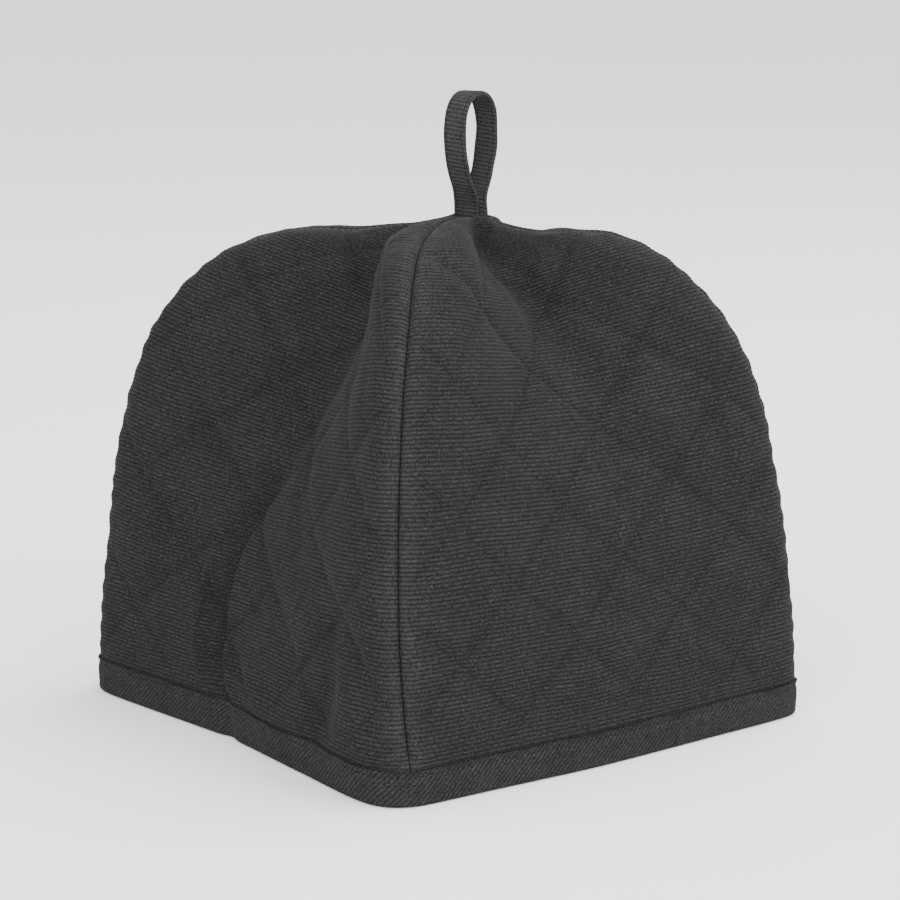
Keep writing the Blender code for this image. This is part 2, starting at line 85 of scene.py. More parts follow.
# %% [markdown]
# The cosy stands on four ridges, one over each seam. A ridge is a short table: how far its crest stands from the
# middle and how high, at some shares of the cloth's height. A smooth curve through the rows gives the rest, so a
# few numbers are enough, and one of them can be moved without spoiling its neighbours.
# %% The four ridges
# level: share of the cut height. reach: crest to axis. rise: crest's height. lean: crest's way anticlockwise.
# turn: how far the ridge's nose looks anticlockwise, in degrees.
RIDGES = {
    "right": (0, [
        (0, 147.2, 0, 0, 0), (.06, 147.5, 14.7, 0, 0), (.14, 146.6, 34.3, 0, 0), (.25, 144, 61, 0, 0),
        (.40, 139, 96.5, 0, 0), (.55, 131, 132, 0, 0), (.66, 120, 157.5, 0, 0), (.75, 104, 177, 0, 0),
        (.82, 87, 190, 0, 0), (.88, 66, 197.8, 0, 0), (.93, 44, 198.6, 0, 0), (.97, 24, 197, 0, 0),
        (1, 8, 203, 0, 0)]),
    "back": (90, [
        (0, 147.3, 0, 0, 0), (.06, 147.3, 14.7, -1, 0), (.14, 146.2, 34.3, -2, 0), (.25, 143.5, 60.5, -3, 0),
        (.40, 138.5, 96.5, -4, 0), (.55, 130, 132, -3, 0), (.66, 118, 156.5, -2, 0), (.75, 102, 175, -1, 0),
        (.82, 85, 188, 0, 0), (.88, 65, 196, 0, 0), (.93, 44, 199, 0, 0), (.97, 24, 201, 0, 0),
        (1, 8, 203, 0, 0)]),
    "left": (180, [
        (0, 147.3, 0, 0, 0), (.06, 147.5, 14.7, 0, 0), (.14, 146.3, 34.3, 0, 0), (.25, 143.6, 61, 0, 0),
        (.40, 139.2, 96.5, 0, 0), (.55, 131.3, 132.5, 0, 0), (.66, 121, 158, 0, 0), (.75, 106, 177.5, 0, 0),
        (.82, 89.5, 190, 0, 0), (.88, 69, 197, 0, 0), (.93, 48, 198, 0, 0), (.97, 29, 199, 0, 0),
        (1, 8, 204, 0, 0)]),
    "front": (270, [
        (0, 146.2, 0, 9, 26), (.06, 146.7, 14.7, 8.6, 22), (.14, 146, 34.3, 6.2, 12), (.25, 144, 60.5, 4, 6),
        (.40, 139.5, 96.5, 2.8, 3), (.55, 131.5, 132, 2.4, 0), (.66, 121, 156.5, 1.9, 0), (.75, 105, 176, .6, 0),
        (.82, 87, 189, -1.8, 0), (.88, 66, 197.8, -4.4, 0), (.93, 44, 202.8, -6, 0), (.97, 24, 205.4, -4.5, 0),
        (1, 8, 205, 0, 0)]),
}
print("ridges:", ", ".join(RIDGES))

# %% [markdown]
# Between two ridges a panel hangs in a valley. The side over the front left sags the most and folds on itself, and
# the other three only hollow a little below the loop. The same kind of table says where each valley lies.
# %% The four panels
# level: share of the cut height. across: where the valley lies between the ridges. inset, drop: how far in and
# down it hangs. wide_a, back_a: how far the first ridge's nose reaches into the panel, and how far it falls back
# there. wide_b, back_b: the same at the second ridge.
PANELS = {
    "front_left": ("left", "front", [
        (0, .46, -1.5, 0, 10, 3, 15, 3.5), (.08, .43, 1.5, 0, 10, 4, 16, 4), (.16, .40, 5.5, 2, 11, 4, 15, 4),
        (.24, .37, 9.5, 5, 12, 5, 14, 5), (.33, .355, 14.5, 8, 13, 5, 14, 5), (.45, .40, 21, 12, 14, 5, 14, 5),
        (.57, .455, 28, 16, 14, 5, 14, 5), (.68, .50, 33, 19, 14, 5, 14, 5), (.78, .51, 32, 19, 14, 6, 15, 5),
        (.86, .50, 26, 16, 14, 6, 17, 5), (.92, .50, 17, 11, 12, 5, 17, 5), (.96, .50, 10, 7, 8, 2, 11, 3),
        (1, .50, 2, 1, 3, .3, 3, .3)]),
    "front_right": ("front", "right", [
        (0, .44, -6, 0, 10, 2, 9, 3), (.08, .44, -6, 0, 10, 3, 10, 4), (.16, .44, -6, 1, 11, 4, 11, 4),
        (.28, .46, -4, 3, 13, 4, 12, 4), (.42, .50, 2, 6, 14, 4, 13, 5), (.53, .54, 8, 8, 15, 4, 14, 5),
        (.64, .55, 16, 11, 16, 4, 14, 5), (.75, .54, 22, 14, 18, 4, 14, 6), (.84, .53, 24, 15, 20, 4, 14, 6),
        (.91, .52, 19, 13, 18, 4, 12, 5), (.96, .52, 10, 7, 10, 2.5, 8, 2.5), (1, .50, 2, 1, 3, .3, 3, .3)]),
    "back_right": ("right", "back", [
        (0, .50, 1, 0, 9, 3, 9, 3), (.08, .51, 0, 0, 10, 4, 10, 4), (.16, .52, 0, 0, 11, 4, 11, 4),
        (.28, .53, 3, 0, 13, 5, 13, 5), (.42, .54, 9, 1, 14, 5, 14, 5), (.53, .53, 15, 4, 14, 5, 14, 5),
        (.64, .52, 21, 8, 14, 5, 14, 5), (.75, .51, 25, 12, 14, 6, 14, 6), (.84, .50, 24, 13, 14, 6, 14, 6),
        (.91, .50, 17, 10, 12, 5, 12, 5), (.96, .50, 9, 6, 8, 2, 8, 2), (1, .50, 2, 1, 3, .3, 3, .3)]),
    "back_left": ("back", "left", [
        (0, .50, 0, 0, 9, 3, 9, 3), (.08, .49, -2, 0, 10, 4, 10, 4), (.16, .48, -2, 0, 11, 4, 11, 4),
        (.28, .47, 0, 0, 13, 5, 13, 5), (.42, .48, 5, 0, 14, 5, 14, 5), (.53, .49, 12, 3, 14, 5, 14, 5),
        (.64, .50, 19, 7, 14, 5, 14, 5), (.75, .50, 24, 11, 14, 6, 14, 6), (.84, .50, 23, 12, 14, 6, 14, 6),
        (.91, .50, 17, 10, 12, 5, 12, 5), (.96, .50, 9, 6, 8, 2, 8, 2), (1, .50, 2, 1, 3, .3, 3, .3)]),
}
ORDER = list(PANELS)
print("panels:", ", ".join(ORDER))

# %% [markdown]
# Every helper below works on whole tables of numbers at once with numpy, which is far quicker than a loop over
# points. smooth reads a table between its rows along a Hermite curve: it meets every row and bends softly between.
# %% Curves through tables
def smooth(rows, at):
    """The other columns of a table at these values of its first one, on a smooth curve through its rows."""
    table = np.array(rows, float)
    x, y = table[:, 0], table[:, 1:]
    slope = np.gradient(y, x, axis=0)
    k = np.clip(np.searchsorted(x, at) - 1, 0, len(x) - 2)
    width = (x[k + 1] - x[k])[:, None]
    t = (np.asarray(at, float) - x[k])[:, None] / width
    start = (2 * t**3 - 3 * t**2 + 1) * y[k] + (t**3 - 2 * t**2 + t) * width * slope[k]
    return start + (3 * t**2 - 2 * t**3) * y[k + 1] + (t**3 - t**2) * width * slope[k + 1]


def ease(t):
    """0 to 1 with a soft start and end."""
    t = np.clip(t, 0, 1)
    return t * t * (3 - 2 * t)


def compass(degrees):
    """The level direction that points this many degrees anticlockwise from +X."""
    a = np.radians(np.asarray(degrees, float))
    return np.stack([np.cos(a), np.sin(a), np.zeros_like(a)], axis=-1)


def crest(name, level):
    """A ridge's crest at these levels, the way that its nose looks and the way across it."""
    bearing, rows = RIDGES[name]
    reach, rise, lean, turn = smooth(rows, level).T
    place = reach[:, None] * compass(bearing) + lean[:, None] * compass(bearing + 90)
    toward_apex = np.clip(level, 0, 1)**8
    place += np.stack([APEX_X * toward_apex, APEX_Y * toward_apex, rise], axis=1)
    return place, compass(bearing + turn), compass(bearing + turn + 90)


front_crest = crest("front", np.array([0, .5, 1.0]))[0]
print("the front ridge runs through", front_crest.round(1).tolist())

# %% [markdown]
# The cloth's ribs run level round each panel, so the panel is lofted from them: one smooth line from seam to seam
# for each height on the flat cloth. Eleven control points shape a line: the noses of both ridges, the slopes behind
# them and the valley in between. A cubic B-spline drawn by them cannot kink, which suits wadded cloth.
# %% The ribs as lines from seam to seam
def spline(control, samples):
    """A smooth line for each row of control points."""
    spans = control.shape[1] - 3
    t = np.linspace(0, spans, samples)
    k = np.minimum(t.astype(int), spans - 1)
    f = (t - k)[None, :, None]
    a, b, c, d = (control[:, k + i] for i in range(4))
    return ((1 - f)**3 * a + (3 * f**3 - 6 * f**2 + 4) * b + (-3 * f**3 + 3 * f**2 + 3 * f + 1) * c + f**3 * d) / 6


def slot_edge(first, level_count, samples):
    """The quarter of the slot round the strap that lies between two ridges."""
    a = np.radians(RIDGES[first][0] + 90 * np.linspace(0, 1, samples))
    size = (abs(np.cos(a) / MOUTH_X)**4 + abs(np.sin(a) / MOUTH_Y)**4)**-0.25
    ring = np.stack([APEX_X + size * np.cos(a), APEX_Y + size * np.sin(a), np.full(samples, APEX_Z)], axis=1)
    return np.broadcast_to(ring, (level_count, samples, 3))


def rib_lines(panel, level, samples=301):
    """The cloth's rib at each level, as a fine line from seam to seam."""
    first, second, rows = PANELS[panel]
    a, out_a, side_a = crest(first, level)
    b, out_b, side_b = crest(second, level)
    across, inset, drop, wide_a, back_a, wide_b, back_b = (c[:, None] for c in smooth(rows, level).T)
    inward = -compass(RIDGES[first][0] + 45)
    valley = a + across * (b - a) + inset * inward - drop * np.array([0, 0, 1.0])
    a1 = a - back_a * out_a + wide_a * side_a
    b1 = b - back_b * out_b - wide_b * side_b
    a2, b2 = (p + .30 * (valley - p) - .06 * inset * inward for p in (a1, b1))
    a3, b3 = (p + .74 * (valley - p) for p in (a1, b1))
    a0, b0 = a + back_a / 3 * out_a, b + back_b / 3 * out_b
    control = [a1 - 2 * wide_a * side_a, a0, a1, a2, a3, valley, b3, b2, b1, b0, b1 + 2 * wide_b * side_b]
    line = spline(np.stack(control, axis=1), samples)
    near_loop = ease((np.asarray(level) - .94) / .06)[:, None, None]
    return line * (1 - near_loop) + slot_edge(first, len(line), samples) * near_loop


def read_at(at, run, line):
    """A line's points where its run, or another number kept along it, has these values."""
    return np.stack([np.interp(at, run, line[:, k]) for k in range(3)], axis=-1)


def running(steps):
    """The running sum of these steps, from 0."""
    return np.concatenate([[0], np.cumsum(steps)])


def along_rows(line, share):
    """Points at these shares of each row's length, and the rows' lengths."""
    step = np.linalg.norm(np.diff(line, axis=1), axis=2)
    run = np.concatenate([np.zeros((len(line), 1)), np.cumsum(step, axis=1)], axis=1)
    length = run[:, -1]
    share = np.broadcast_to(share, (len(line), np.shape(share)[-1]))
    return np.array([read_at(s * total, r, row) for s, total, r, row in zip(share, length, run, line)]), length


def outward(points, name, level):
    """The unit normals of a panel's grid, square to the seam's rim at both ends."""
    along, up = np.gradient(points, axis=1), np.gradient(points, axis=0)
    first, second, _ = PANELS[name]
    along[:, 0], along[:, -1] = crest(first, level)[2], crest(second, level)[2]
    n = np.cross(along, up)
    n /= np.maximum(np.linalg.norm(n, axis=2, keepdims=True), 1e-9)
    n[..., 2] *= ease((np.asarray(level) * PATTERN_HEIGHT - BINDING_HEIGHT - 2) / 25)[:, None]
    upright = ease((np.asarray(level) - .86) / .10)[:, None, None]
    n = n * (1 - upright) + np.array([0, 0, 1.0]) * upright
    return n / np.linalg.norm(n, axis=2, keepdims=True)


hem_length = {panel: along_rows(rib_lines(panel, np.zeros(1)), [0.0, 1.0])[1][0] for panel in PANELS}
print("hems in mm:", {panel: round(length) for panel, length in hem_length.items()})

# %% [markdown]
# Wadding is held by rows of stitches in diamonds, and each row draws the cloth in. A fold is drawn as a path on
# the flat panel, with a depth and a width at each of its points: a depth under zero stands out as a soft roll. A
# texture could fake both, but shapes that show at the outline or cast shade have to be in the mesh. Sines of mixed
# length, from a seeded draw, give an unevenness that is the same in every run: here it makes the rows stray a
# little.
# %% Quilting and folds
# Where a falling row crosses the panel's middle and the step to the next, the same for the rising rows, and how
# deep they draw the cloth in.
QUILTING = {
    "front_left": (81, 58, 180, 60, 1.6),
    "front_right": (-24, 59, 20, 53, 1.2),
    "back_right": (12, 58, 150, 58, 1.5),
    "back_left": (40, 58, 165, 58, 1.5),
}
QUILT_WIDTH = 6.0
WANDER = 1.4  # how far a row strays
# Paths of (across, up, depth, half width). The first one of each panel is its main fold.
FOLDS = {
    "front_left": [
        [(7, 178, 0, 9), (0, 150, 2, 8), (-9, 122, 3, 7), (-19, 98, 3.8, 5.6), (-25, 78, 4.2, 4.8),
         (-25, 60, 4.4, 4.4), (-25, 46, 4.4, 4.2), (-24, 33, 4.2, 4.2), (-20, 20, 3.4, 4.6), (-13, 8, 2.0, 5),
         (-8, -12, 1.2, 5.5)],
        [(-24, 92, 0, 6), (-30, 74, 1.4, 6), (-32, 59, 1.8, 6), (-32, 46, 1.8, 6), (-31, 33, 1.8, 6),
         (-26, 20, 1.2, 6), (-19, 10, 0, 6)],
        [(-14, 94, 0, 4), (-18, 74, -1, 4), (-18.5, 58, -1.6, 3.8), (-18, 46, -1.6, 3.8), (-17.5, 33, -1.6, 3.8),
         (-13, 20, -1.2, 4), (-6, 10, -.6, 4), (0, 4, 0, 4)],
        [(-32, 96, 0, 3.5), (-38, 76, -1.1, 3.2), (-40, 60, -1.5, 3), (-39, 47, -1.5, 3), (-38, 36, -1.5, 3),
         (-34, 22, -1.2, 3), (-26, 10, 0, 3.5)],
        [(65, 80, 0, 9), (66, 55, 2.2, 9), (63, 34, 3, 8.5), (54, 16, 2, 8), (50, 8, .5, 8)],
        [(74, 52, 0, 6), (80, 34, -1.6, 6), (90, 20, -1, 6), (94, 12, 0, 6)],
        [(-8, 34, 0, 6), (4, 22, -2.2, 6), (16, 18, -2.4, 6), (34, 17, -1.4, 6), (44, 18, 0, 6)],
        [(4, 152, 0, 5), (16, 118, 1.4, 5.5), (26, 100, 1.4, 6), (38, 84, 0, 6)],
        [(-16, 71, 0, 3.5), (-8, 64, 1.3, 3.5), (6, 56, 1.3, 3.5), (24, 48, .8, 4), (40, 42, 0, 4)],
    ],
    "front_right": [
        [(52, 150, 0, 4.5), (63, 130, 1.4, 4.5), (67, 108, 1.4, 4.5), (65, 88, 0, 4.5)],
        [(62, 98, 0, 4), (70, 80, 1, 4), (66, 56, 1, 4), (52, 34, 0, 4)],
        [(-2, 226, 0, 8), (-7, 204, -1.2, 8), (-7, 184, -1.5, 9), (-3, 165, -1.4, 9), (2, 146, -1.2, 9),
         (9, 126, -.8, 9), (20, 104, 0, 9)],
        [(16, 226, 0, 6), (13, 204, 1.6, 6), (13, 186, 1.8, 6.5), (18, 168, 1.3, 6.5), (25, 148, 1.0, 6.5),
         (33, 128, .8, 6.5), (46, 108, .5, 6.5), (60, 90, 0, 6.5)],
    ],
    "back_right": [
        [(2, 176, 0, 9), (6, 140, 2.5, 8), (10, 110, 2.5, 7), (20, 84, 0, 7)],
        [(-60, 120, 0, 6), (-66, 96, 1.5, 6), (-60, 70, 1.5, 6), (-50, 52, 0, 6)],
        [(30, 46, 0, 7), (36, 28, 2, 7), (30, 10, 1, 7), (28, -12, .8, 7)],
    ],
    "back_left": [
        [(-2, 178, 0, 9), (-6, 140, 2.5, 8), (-14, 108, 3, 7), (-28, 80, 0, 7)],
        [(58, 130, 0, 6), (64, 104, 1.5, 6), (60, 76, 1.5, 6), (48, 56, 0, 6)],
    ],
}


def fold(x, y, rows, widen=0.0):
    """How far one fold draws the cloth in: a row of soft dents along its path, which add up to one groove."""
    count = np.arange(len(rows))
    path = smooth(np.column_stack([count, rows]), np.linspace(0, count[-1], 8 * count[-1] + 1))
    sink = np.zeros(x.shape)
    for here, there in zip(path[:-1], path[1:]):
        across, up, depth, width = (here + there) / 2
        share = math.hypot(*(there - here)[:2]) / ((width + widen) * math.sqrt(math.pi))
        sink = sink + depth * share * np.exp(-((x - across)**2 + (y - up)**2) / (width + widen)**2)
    return sink


def uneven(x, y, wave, seed):
    """A soft unevenness from about -1 to 1, with its bumps roughly one wave apart."""
    total = np.zeros(np.broadcast(x, y).shape)
    for angle, stretch, shift in np.random.default_rng(seed).random((7, 3)):
        way = 2 * math.pi * angle
        length = wave * (.7 + .9 * stretch)
        total += np.sin(2 * math.pi * ((x * math.cos(way) + y * math.sin(way)) / length + shift))
    return total / 4


def wander(panel, x, rising):
    """How far a row of stitches strays from its straight line, by its place across the panel."""
    return WANDER * uneven(x, 0 * x, 60, 500 + 2 * ORDER.index(panel) + rising)


def to_quilting(panel, x, y):
    """How far each point of the flat cloth lies from the nearest falling and the nearest rising row."""
    falling, falling_step, rising, rising_step, _ = QUILTING[panel]
    u = (x + y - falling - wander(panel, x, 0)) / falling_step
    v = (y - x - rising - wander(panel, x, 1)) / rising_step
    return (abs(u - np.round(u)) * falling_step / math.sqrt(2),
            abs(v - np.round(v)) * rising_step / math.sqrt(2))


print("folds drawn by hand:", sum(len(paths) for paths in FOLDS.values()))

# %% [markdown]
# Close up, the cloth has more to it than the solid: sharper lines where the thread bites, puckers beside seams,
# lumps in the wadding, and ribs under two millimetres apart. All of them are small moves along the surface's
# normal, so they are added up as one depth for each point. Near the loop the panel is drawn out more than its cut
# height says, and the ribs are counted along the drawn-out cloth, so that they keep their distance there.
# %% Finer forms
RIB = 1.65  # from one rib to the next
RIB_DEPTH = 0.23
SEAM_GROOVE = 1.0
SEAM_GROOVE_WIDTH = 2.2
SEAM_BITE = 1.3
SEAM_BITE_WIDTH = 1.0
STITCH_BITE = 0.60
STITCH_BITE_WIDTH = 2.0
QUILTING_CLEAR = 12.0  # from a seam, where the diamonds reach their full depth
QUILTING_FOOT, QUILTING_RISE = 16.0, 10.0  # where the diamonds begin above the hem, and how soon they are deep
LUMP_DEPTH, GRAIN_DEPTH = 0.30, 0.14
PUCKER_DEPTH, PUCKER_PITCH = 0.36, 9.5
GATHER_DEPTH, GATHER_PITCH = 0.30, 13
FRONT_ROLL = 0.5  # the hollow and the roll that run beside the front ridge
# How firmly the falling and the rising rows of each panel are drawn.
PULL = {"front_left": (.9, .65), "front_right": (.95, 1.0), "back_right": (1.0, .95), "back_left": (.95, 1.0)}
# Paths like those of the folds, for lines too thin for the solids.
FINE_FOLDS = {
    "front_left": [
        [(-32, 94, 0, 1.9), (-38, 76, -.35, 1.8), (-40, 60, -.5, 1.8), (-39, 47, -.5, 1.8), (-38, 36, -.5, 1.8),
         (-35, 24, -.45, 1.8), (-30, 15, -.35, 1.8), (-25, 10, 0, 1.8)],
        [(-12, 86, 0, 2), (-17, 66, -.35, 1.9), (-18, 52, -.5, 1.8), (-18, 38, -.5, 1.8), (-15.5, 25, -.4, 1.8),
         (-9, 13, 0, 2)],
        [(-52, 22, 0, 2.2), (-46, 19, .5, 2.2), (-38, 14, .5, 2.2), (-33, 12, 0, 2.2)],
        [(50, 108, 0, 3), (30, 96, .6, 3), (14, 80, .6, 3), (2, 70, 0, 3)],
    ],
    "front_right": [
        [(-70, 132, 0, 3), (-58, 118, .6, 3), (-44, 108, .6, 3), (-30, 102, 0, 3)],
        [(30, 36, 0, 3), (44, 30, .6, 3), (58, 20, .6, 3), (64, 16, 0, 3)],
        [(-30, 30, 0, 3), (-22, 24, .5, 3), (-14, 17, .5, 3), (-8, 14, 0, 3)],
    ],
    "back_right": [
        [(-40, 40, 0, 3), (-30, 30, .6, 3), (-18, 22, .6, 3), (-10, 14, 0, 3)],
    ],
    "back_left": [
        [(20, 44, 0, 3), (30, 32, .6, 3), (44, 22, .6, 3), (50, 14, 0, 3)],
    ],
}


def pulled(panel, x, y):
    """How firmly the falling and the rising rows of stitches are drawn at these places: about 1, or less."""
    seed = 600 + 2 * ORDER.index(panel)
    falling, rising = PULL[panel]
    return (falling * (.85 + .35 * uneven(x, y, 70, seed)), rising * (.85 + .35 * uneven(x, y, 70, seed + 1)))


def quilting(panel, x, y, edge):
    """How far the stitched diamonds draw the cloth in, with a sharper line at the thread."""
    fade = np.clip(edge / QUILTING_CLEAR, 0, 1) * np.clip((y - QUILTING_FOOT) / QUILTING_RISE, 0, 1)
    sinks = []
    for away, pull in zip(to_quilting(panel, x, y), pulled(panel, x, y)):
        soft = QUILTING[panel][-1] * np.exp(-(away / QUILT_WIDTH)**2)
        sinks.append(pull * (soft + STITCH_BITE * np.exp(-(away / STITCH_BITE_WIDTH)**2)))
    return np.maximum(*sinks) * fade


def finer(panel, x, y, edge):
    """How far puckers, lumps, ribs and thin folds draw the cloth in."""
    seed = ORDER.index(panel) * 10
    lumps = LUMP_DEPTH * uneven(x, y, 34, seed) + GRAIN_DEPTH * uneven(x, y, 11, seed + 1)
    beside_seam = np.exp(-edge / 9) * ease(edge / 3)
    phase = 2 * math.pi * y / PUCKER_PITCH + 1.6 * uneven(x * 0, y, 40, seed + 2)
    puckers = PUCKER_DEPTH * beside_seam * np.sin(phase)
    above_binding = np.exp(-np.maximum(y - 15, 0) / 9)
    phase = 2 * math.pi * x / GATHER_PITCH + 1.5 * uneven(x, y * 0, 50, seed + 3)
    gathers = GATHER_DEPTH * above_binding * np.sin(phase)
    # Ribs are flatter near the hem and beside the loop, where hands and the iron have pressed them.
    worn_flat = (.70 + .30 * ease((y - 30) / 90)) * (1 - .6 * ease((y - 205) / 20))
    ribs = RIB_DEPTH * (.5 + .5 * np.cos(2 * math.pi * drawn_out(y) / RIB)) * ease(edge / 1.6) * worn_flat
    bite = SEAM_BITE * np.exp(-(edge / SEAM_BITE_WIDTH)**2)
    thin = sum(fold(x, y, rows) for rows in FINE_FOLDS[panel]) * ease(edge / 6)
    depth = (lumps * ease(edge / 10) + puckers + gathers) * ease((y - 14) / 6) + ribs + bite + thin
    if panel == "front_left":
        beside_front = (x > 0) * (np.exp(-((edge - 22) / 5)**2) - np.exp(-((edge - 11) / 5)**2))
        depth = depth + FRONT_ROLL * beside_front * ease((y - 20) / 30)
    return depth


def measure_drawn_out():
    """At some cut heights, how much cloth in mm lies below them on a panel, on average."""
    at = np.linspace(0, PATTERN_HEIGHT, 60)
    steps = [np.linalg.norm(np.diff(rib_lines(panel, at / PATTERN_HEIGHT)[:, 60:-60], axis=0), axis=2).mean(axis=1)
             for panel in PANELS]
    return at, running(np.mean(steps, axis=0))


DRAWN_OUT = measure_drawn_out()


def drawn_out(y):
    """How much cloth lies below these cut heights."""
    return np.interp(y, *DRAWN_OUT)


print("cloth from hem to loop in mm:", DRAWN_OUT[1][-1].round(1))

# %% [markdown]
# Each panel is a closed slab of cloth and wadding. Its outer face has three rows of points for each rib, one of
# them down in the groove, and its inner face, which shows only from below, has far fewer. The faces share one
# function, so the wall keeps its thickness: the inner face follows the outer one, and never comes closer than a ply
# of cloth. The rows also sway up and down by about half a millimetre, because ribs never run quite true on a sewn
# thing. Just above the binding the cloth comes out of its tuck within half a millimetre, along an uneven line.
# %% The two faces of a panel
THINNEST = 1.3
RIB_SWAY = 0.45
FIRST_ROW = 14.1  # the lowest height that shows above the binding
COMES_OUT, COMES_OUT_WITHIN = 13.3, 0.5
FOLLOWS_FOLD = 0.9  # how much of a fold's depth the inner face takes on


def cloth_faces(panel, heights, share):
    """The outer and inner faces as grids in millimetres, and each point's place on the flat cloth."""
    level = np.asarray(heights, float) / PATTERN_HEIGHT
    base, length = along_rows(rib_lines(panel, level), share)
    normal = outward(base, panel, level)
    share = np.broadcast_to(share, base.shape[:2])
    x = (share - .5) * length[:, None]
    y = np.broadcast_to(np.asarray(heights, float)[:, None], base.shape[:2])
    edge = length[:, None] / 2 - abs(x)
    bound = 1 - ease((y - FIRST_ROW) / SWELL)
    over = y - COMES_OUT - .25 * uneven(x, 0 * y, 23, 88)
    squeezed = (1 - ease(over / COMES_OUT_WITHIN)) * .50 + bound * .32
    outer = TUCK * squeezed + quilting(panel, x, y, edge)
    outer = outer + SEAM_GROOVE * np.exp(-(edge / SEAM_GROOVE_WIDTH)**2) * (1 - bound)
    inner = SHELL - (SHELL - TUCK - HEM_SHELL) * bound
    inner = inner - (SHELL - SHELL_AT_LOOP) * ease((y / PATTERN_HEIGHT - .88) / .08)
    for rows in FOLDS[panel]:
        sink = fold(x, y, rows) * ease(edge / 8)
        outer = outer + sink
        wide = fold(x, y, rows, widen=4.0) * ease(edge / 8)
        inner = inner + np.where(bound > .5, sink, np.maximum(wide * FOLLOWS_FOLD, 0))
    outer = outer + finer(panel, x, y, edge) * (1 - bound)
    inner = np.maximum(inner, outer + THINNEST)
    up = np.gradient(base, axis=0)
    up /= np.maximum(np.linalg.norm(up, axis=2, keepdims=True), 1e-9)
    sway = RIB_SWAY * uneven(x, y, 42, 90 + ORDER.index(panel)) * ease(edge / 10) * (1 - bound)
    base = base + up * (sway * ease((PATTERN_HEIGHT - y) / 25))[..., None]
    first, second, _ = PANELS[panel]
    outer, inner = base - normal * outer[..., None], base - normal * inner[..., None]
    for face in (outer, inner):
        face[:, 0] += crest(first, level)[2] * GAP / 2
        face[:, -1] -= crest(second, level)[2] * GAP / 2
    return outer, inner, x, y, edge


test_faces = cloth_faces("front_right", np.array([100.0, 101.0]), np.linspace(0, 1, 5))
print("a rib's points in mm:", test_faces[0][0].round(1).tolist())

# %% [markdown]
# Rows and columns need not be even. The rows under the binding never show, so there are four of them, and the rest
# follow the ribs. Columns crowd at the seams, where the cloth turns in sharply, and on the folded panel round its
# fold. Near the loop a row is only a centimetre long, and there the columns even out.
# %% Rows and columns
ROWS_IN_A_RIB = 3
HIDDEN_ROWS = [1.7, 4.5, 9.0, 13.5]
EDGE_COLUMNS = np.array([0, .35, .8, 1.4, 2.2, 3.4, 5.0])
COLUMN_STEP = 1.65
FOLD_STEP = 1.0
FOLD_REACH = 15.0  # to both sides of the fold
FEWER_LEFT, FEWER_RIGHT = 10, 2  # columns that the fold's own ones stand in for
# In rows shorter than these, the seams' columns and the fold's draw together, and all columns even out.
SHORT_AT_SEAM, SHORT_AT_FOLD, SHORT_EVEN = 105, 160, 100


def cloth_heights():
    """The heights of a panel's rows on the flat cloth."""
    step = RIB / ROWS_IN_A_RIB
    first = math.ceil(drawn_out(FIRST_ROW) / step)
    ribbed = np.interp(np.arange(first, DRAWN_OUT[1][-1] / step - 1) * step, DRAWN_OUT[1], DRAWN_OUT[0])
    return np.concatenate([HIDDEN_ROWS, ribbed, [PATTERN_HEIGHT]])


def cloth_shares(panel, heights):
    """Where the columns stand in each row, from 0 at the first seam to 1 at the second."""
    length = along_rows(rib_lines(panel, np.asarray(heights) / PATTERN_HEIGHT), [0.0, 1.0])[1]
    widest = length.max()
    path = np.array(FOLDS[panel][0], float)
    path = path[np.argsort(path[:, 1])]
    folded = panel == "front_left"
    rows = []
    for total, at_fold in zip(length, np.interp(heights, path[:, 1], path[:, 0])):
        scale = min(1, total / SHORT_AT_SEAM)
        edge = EDGE_COLUMNS * scale
        if folded:
            near = np.arange(-FOLD_REACH, FOLD_REACH + .1, FOLD_STEP)
            middle = total / 2 + (at_fold + near) * min(1, total / SHORT_AT_FOLD)
            side = int(widest / 2 / COLUMN_STEP)
            left = np.linspace(edge[-1], middle[0], side - FEWER_LEFT)[1:-1]
            right = np.linspace(middle[-1], total - edge[-1], side - FEWER_RIGHT)[1:-1]
            place = np.concatenate([edge, left, middle, right, total - edge[::-1]])
        else:
            between = np.linspace(edge[-1], total - edge[-1], int(widest / COLUMN_STEP))[1:-1]
            place = np.concatenate([edge, between, total - edge[::-1]])
        even = 1 - ease(total / SHORT_EVEN)
        rows.append(place / total * (1 - even) + np.linspace(0, 1, len(place)) * even)
    return np.array(rows)


print("rows:", len(cloth_heights()), "columns:", cloth_shares("front_left", cloth_heights()).shape[1])

# %% [markdown]
# A grid of points becomes a mesh once its faces are listed. Blender takes them as lists of corner numbers, turned
# anticlockwise as seen from outside. The fine outer face and the coarse inner one are joined at the rim by fans of
# triangles, which close the slab without a gap and without extra rows.
# %% From grids to meshes
def grid_faces(rows, columns, first=0):
    """The four-cornered faces of a grid whose points are numbered row by row from first."""
    r, c = np.mgrid[0:rows - 1, 0:columns - 1]
    corner = first + r * columns + c
    return np.stack([corner, corner + 1, corner + columns + 1, corner + columns], axis=-1).reshape(-1, 4)


def tube_faces(rings, around, closed):
    """The faces of a tube of rings of points. Where it is closed, the last ring is joined to the first."""
    r, c = np.mgrid[0:rings if closed else rings - 1, 0:around]
    here, above, right = r * around, (r + 1) % rings * around, (c + 1) % around
    return np.stack([here + c, here + right, above + right, above + c], axis=-1).reshape(-1, 4).tolist()


def rim(rows, columns):
    """The rows and columns met on a walk round a grid's edge, anticlockwise."""
    walk = [(rows[0], c) for c in columns] + [(r, columns[-1]) for r in rows[1:]]
    return walk + [(rows[-1], c) for c in columns[-2::-1]] + [(r, columns[0]) for r in rows[-2:0:-1]]


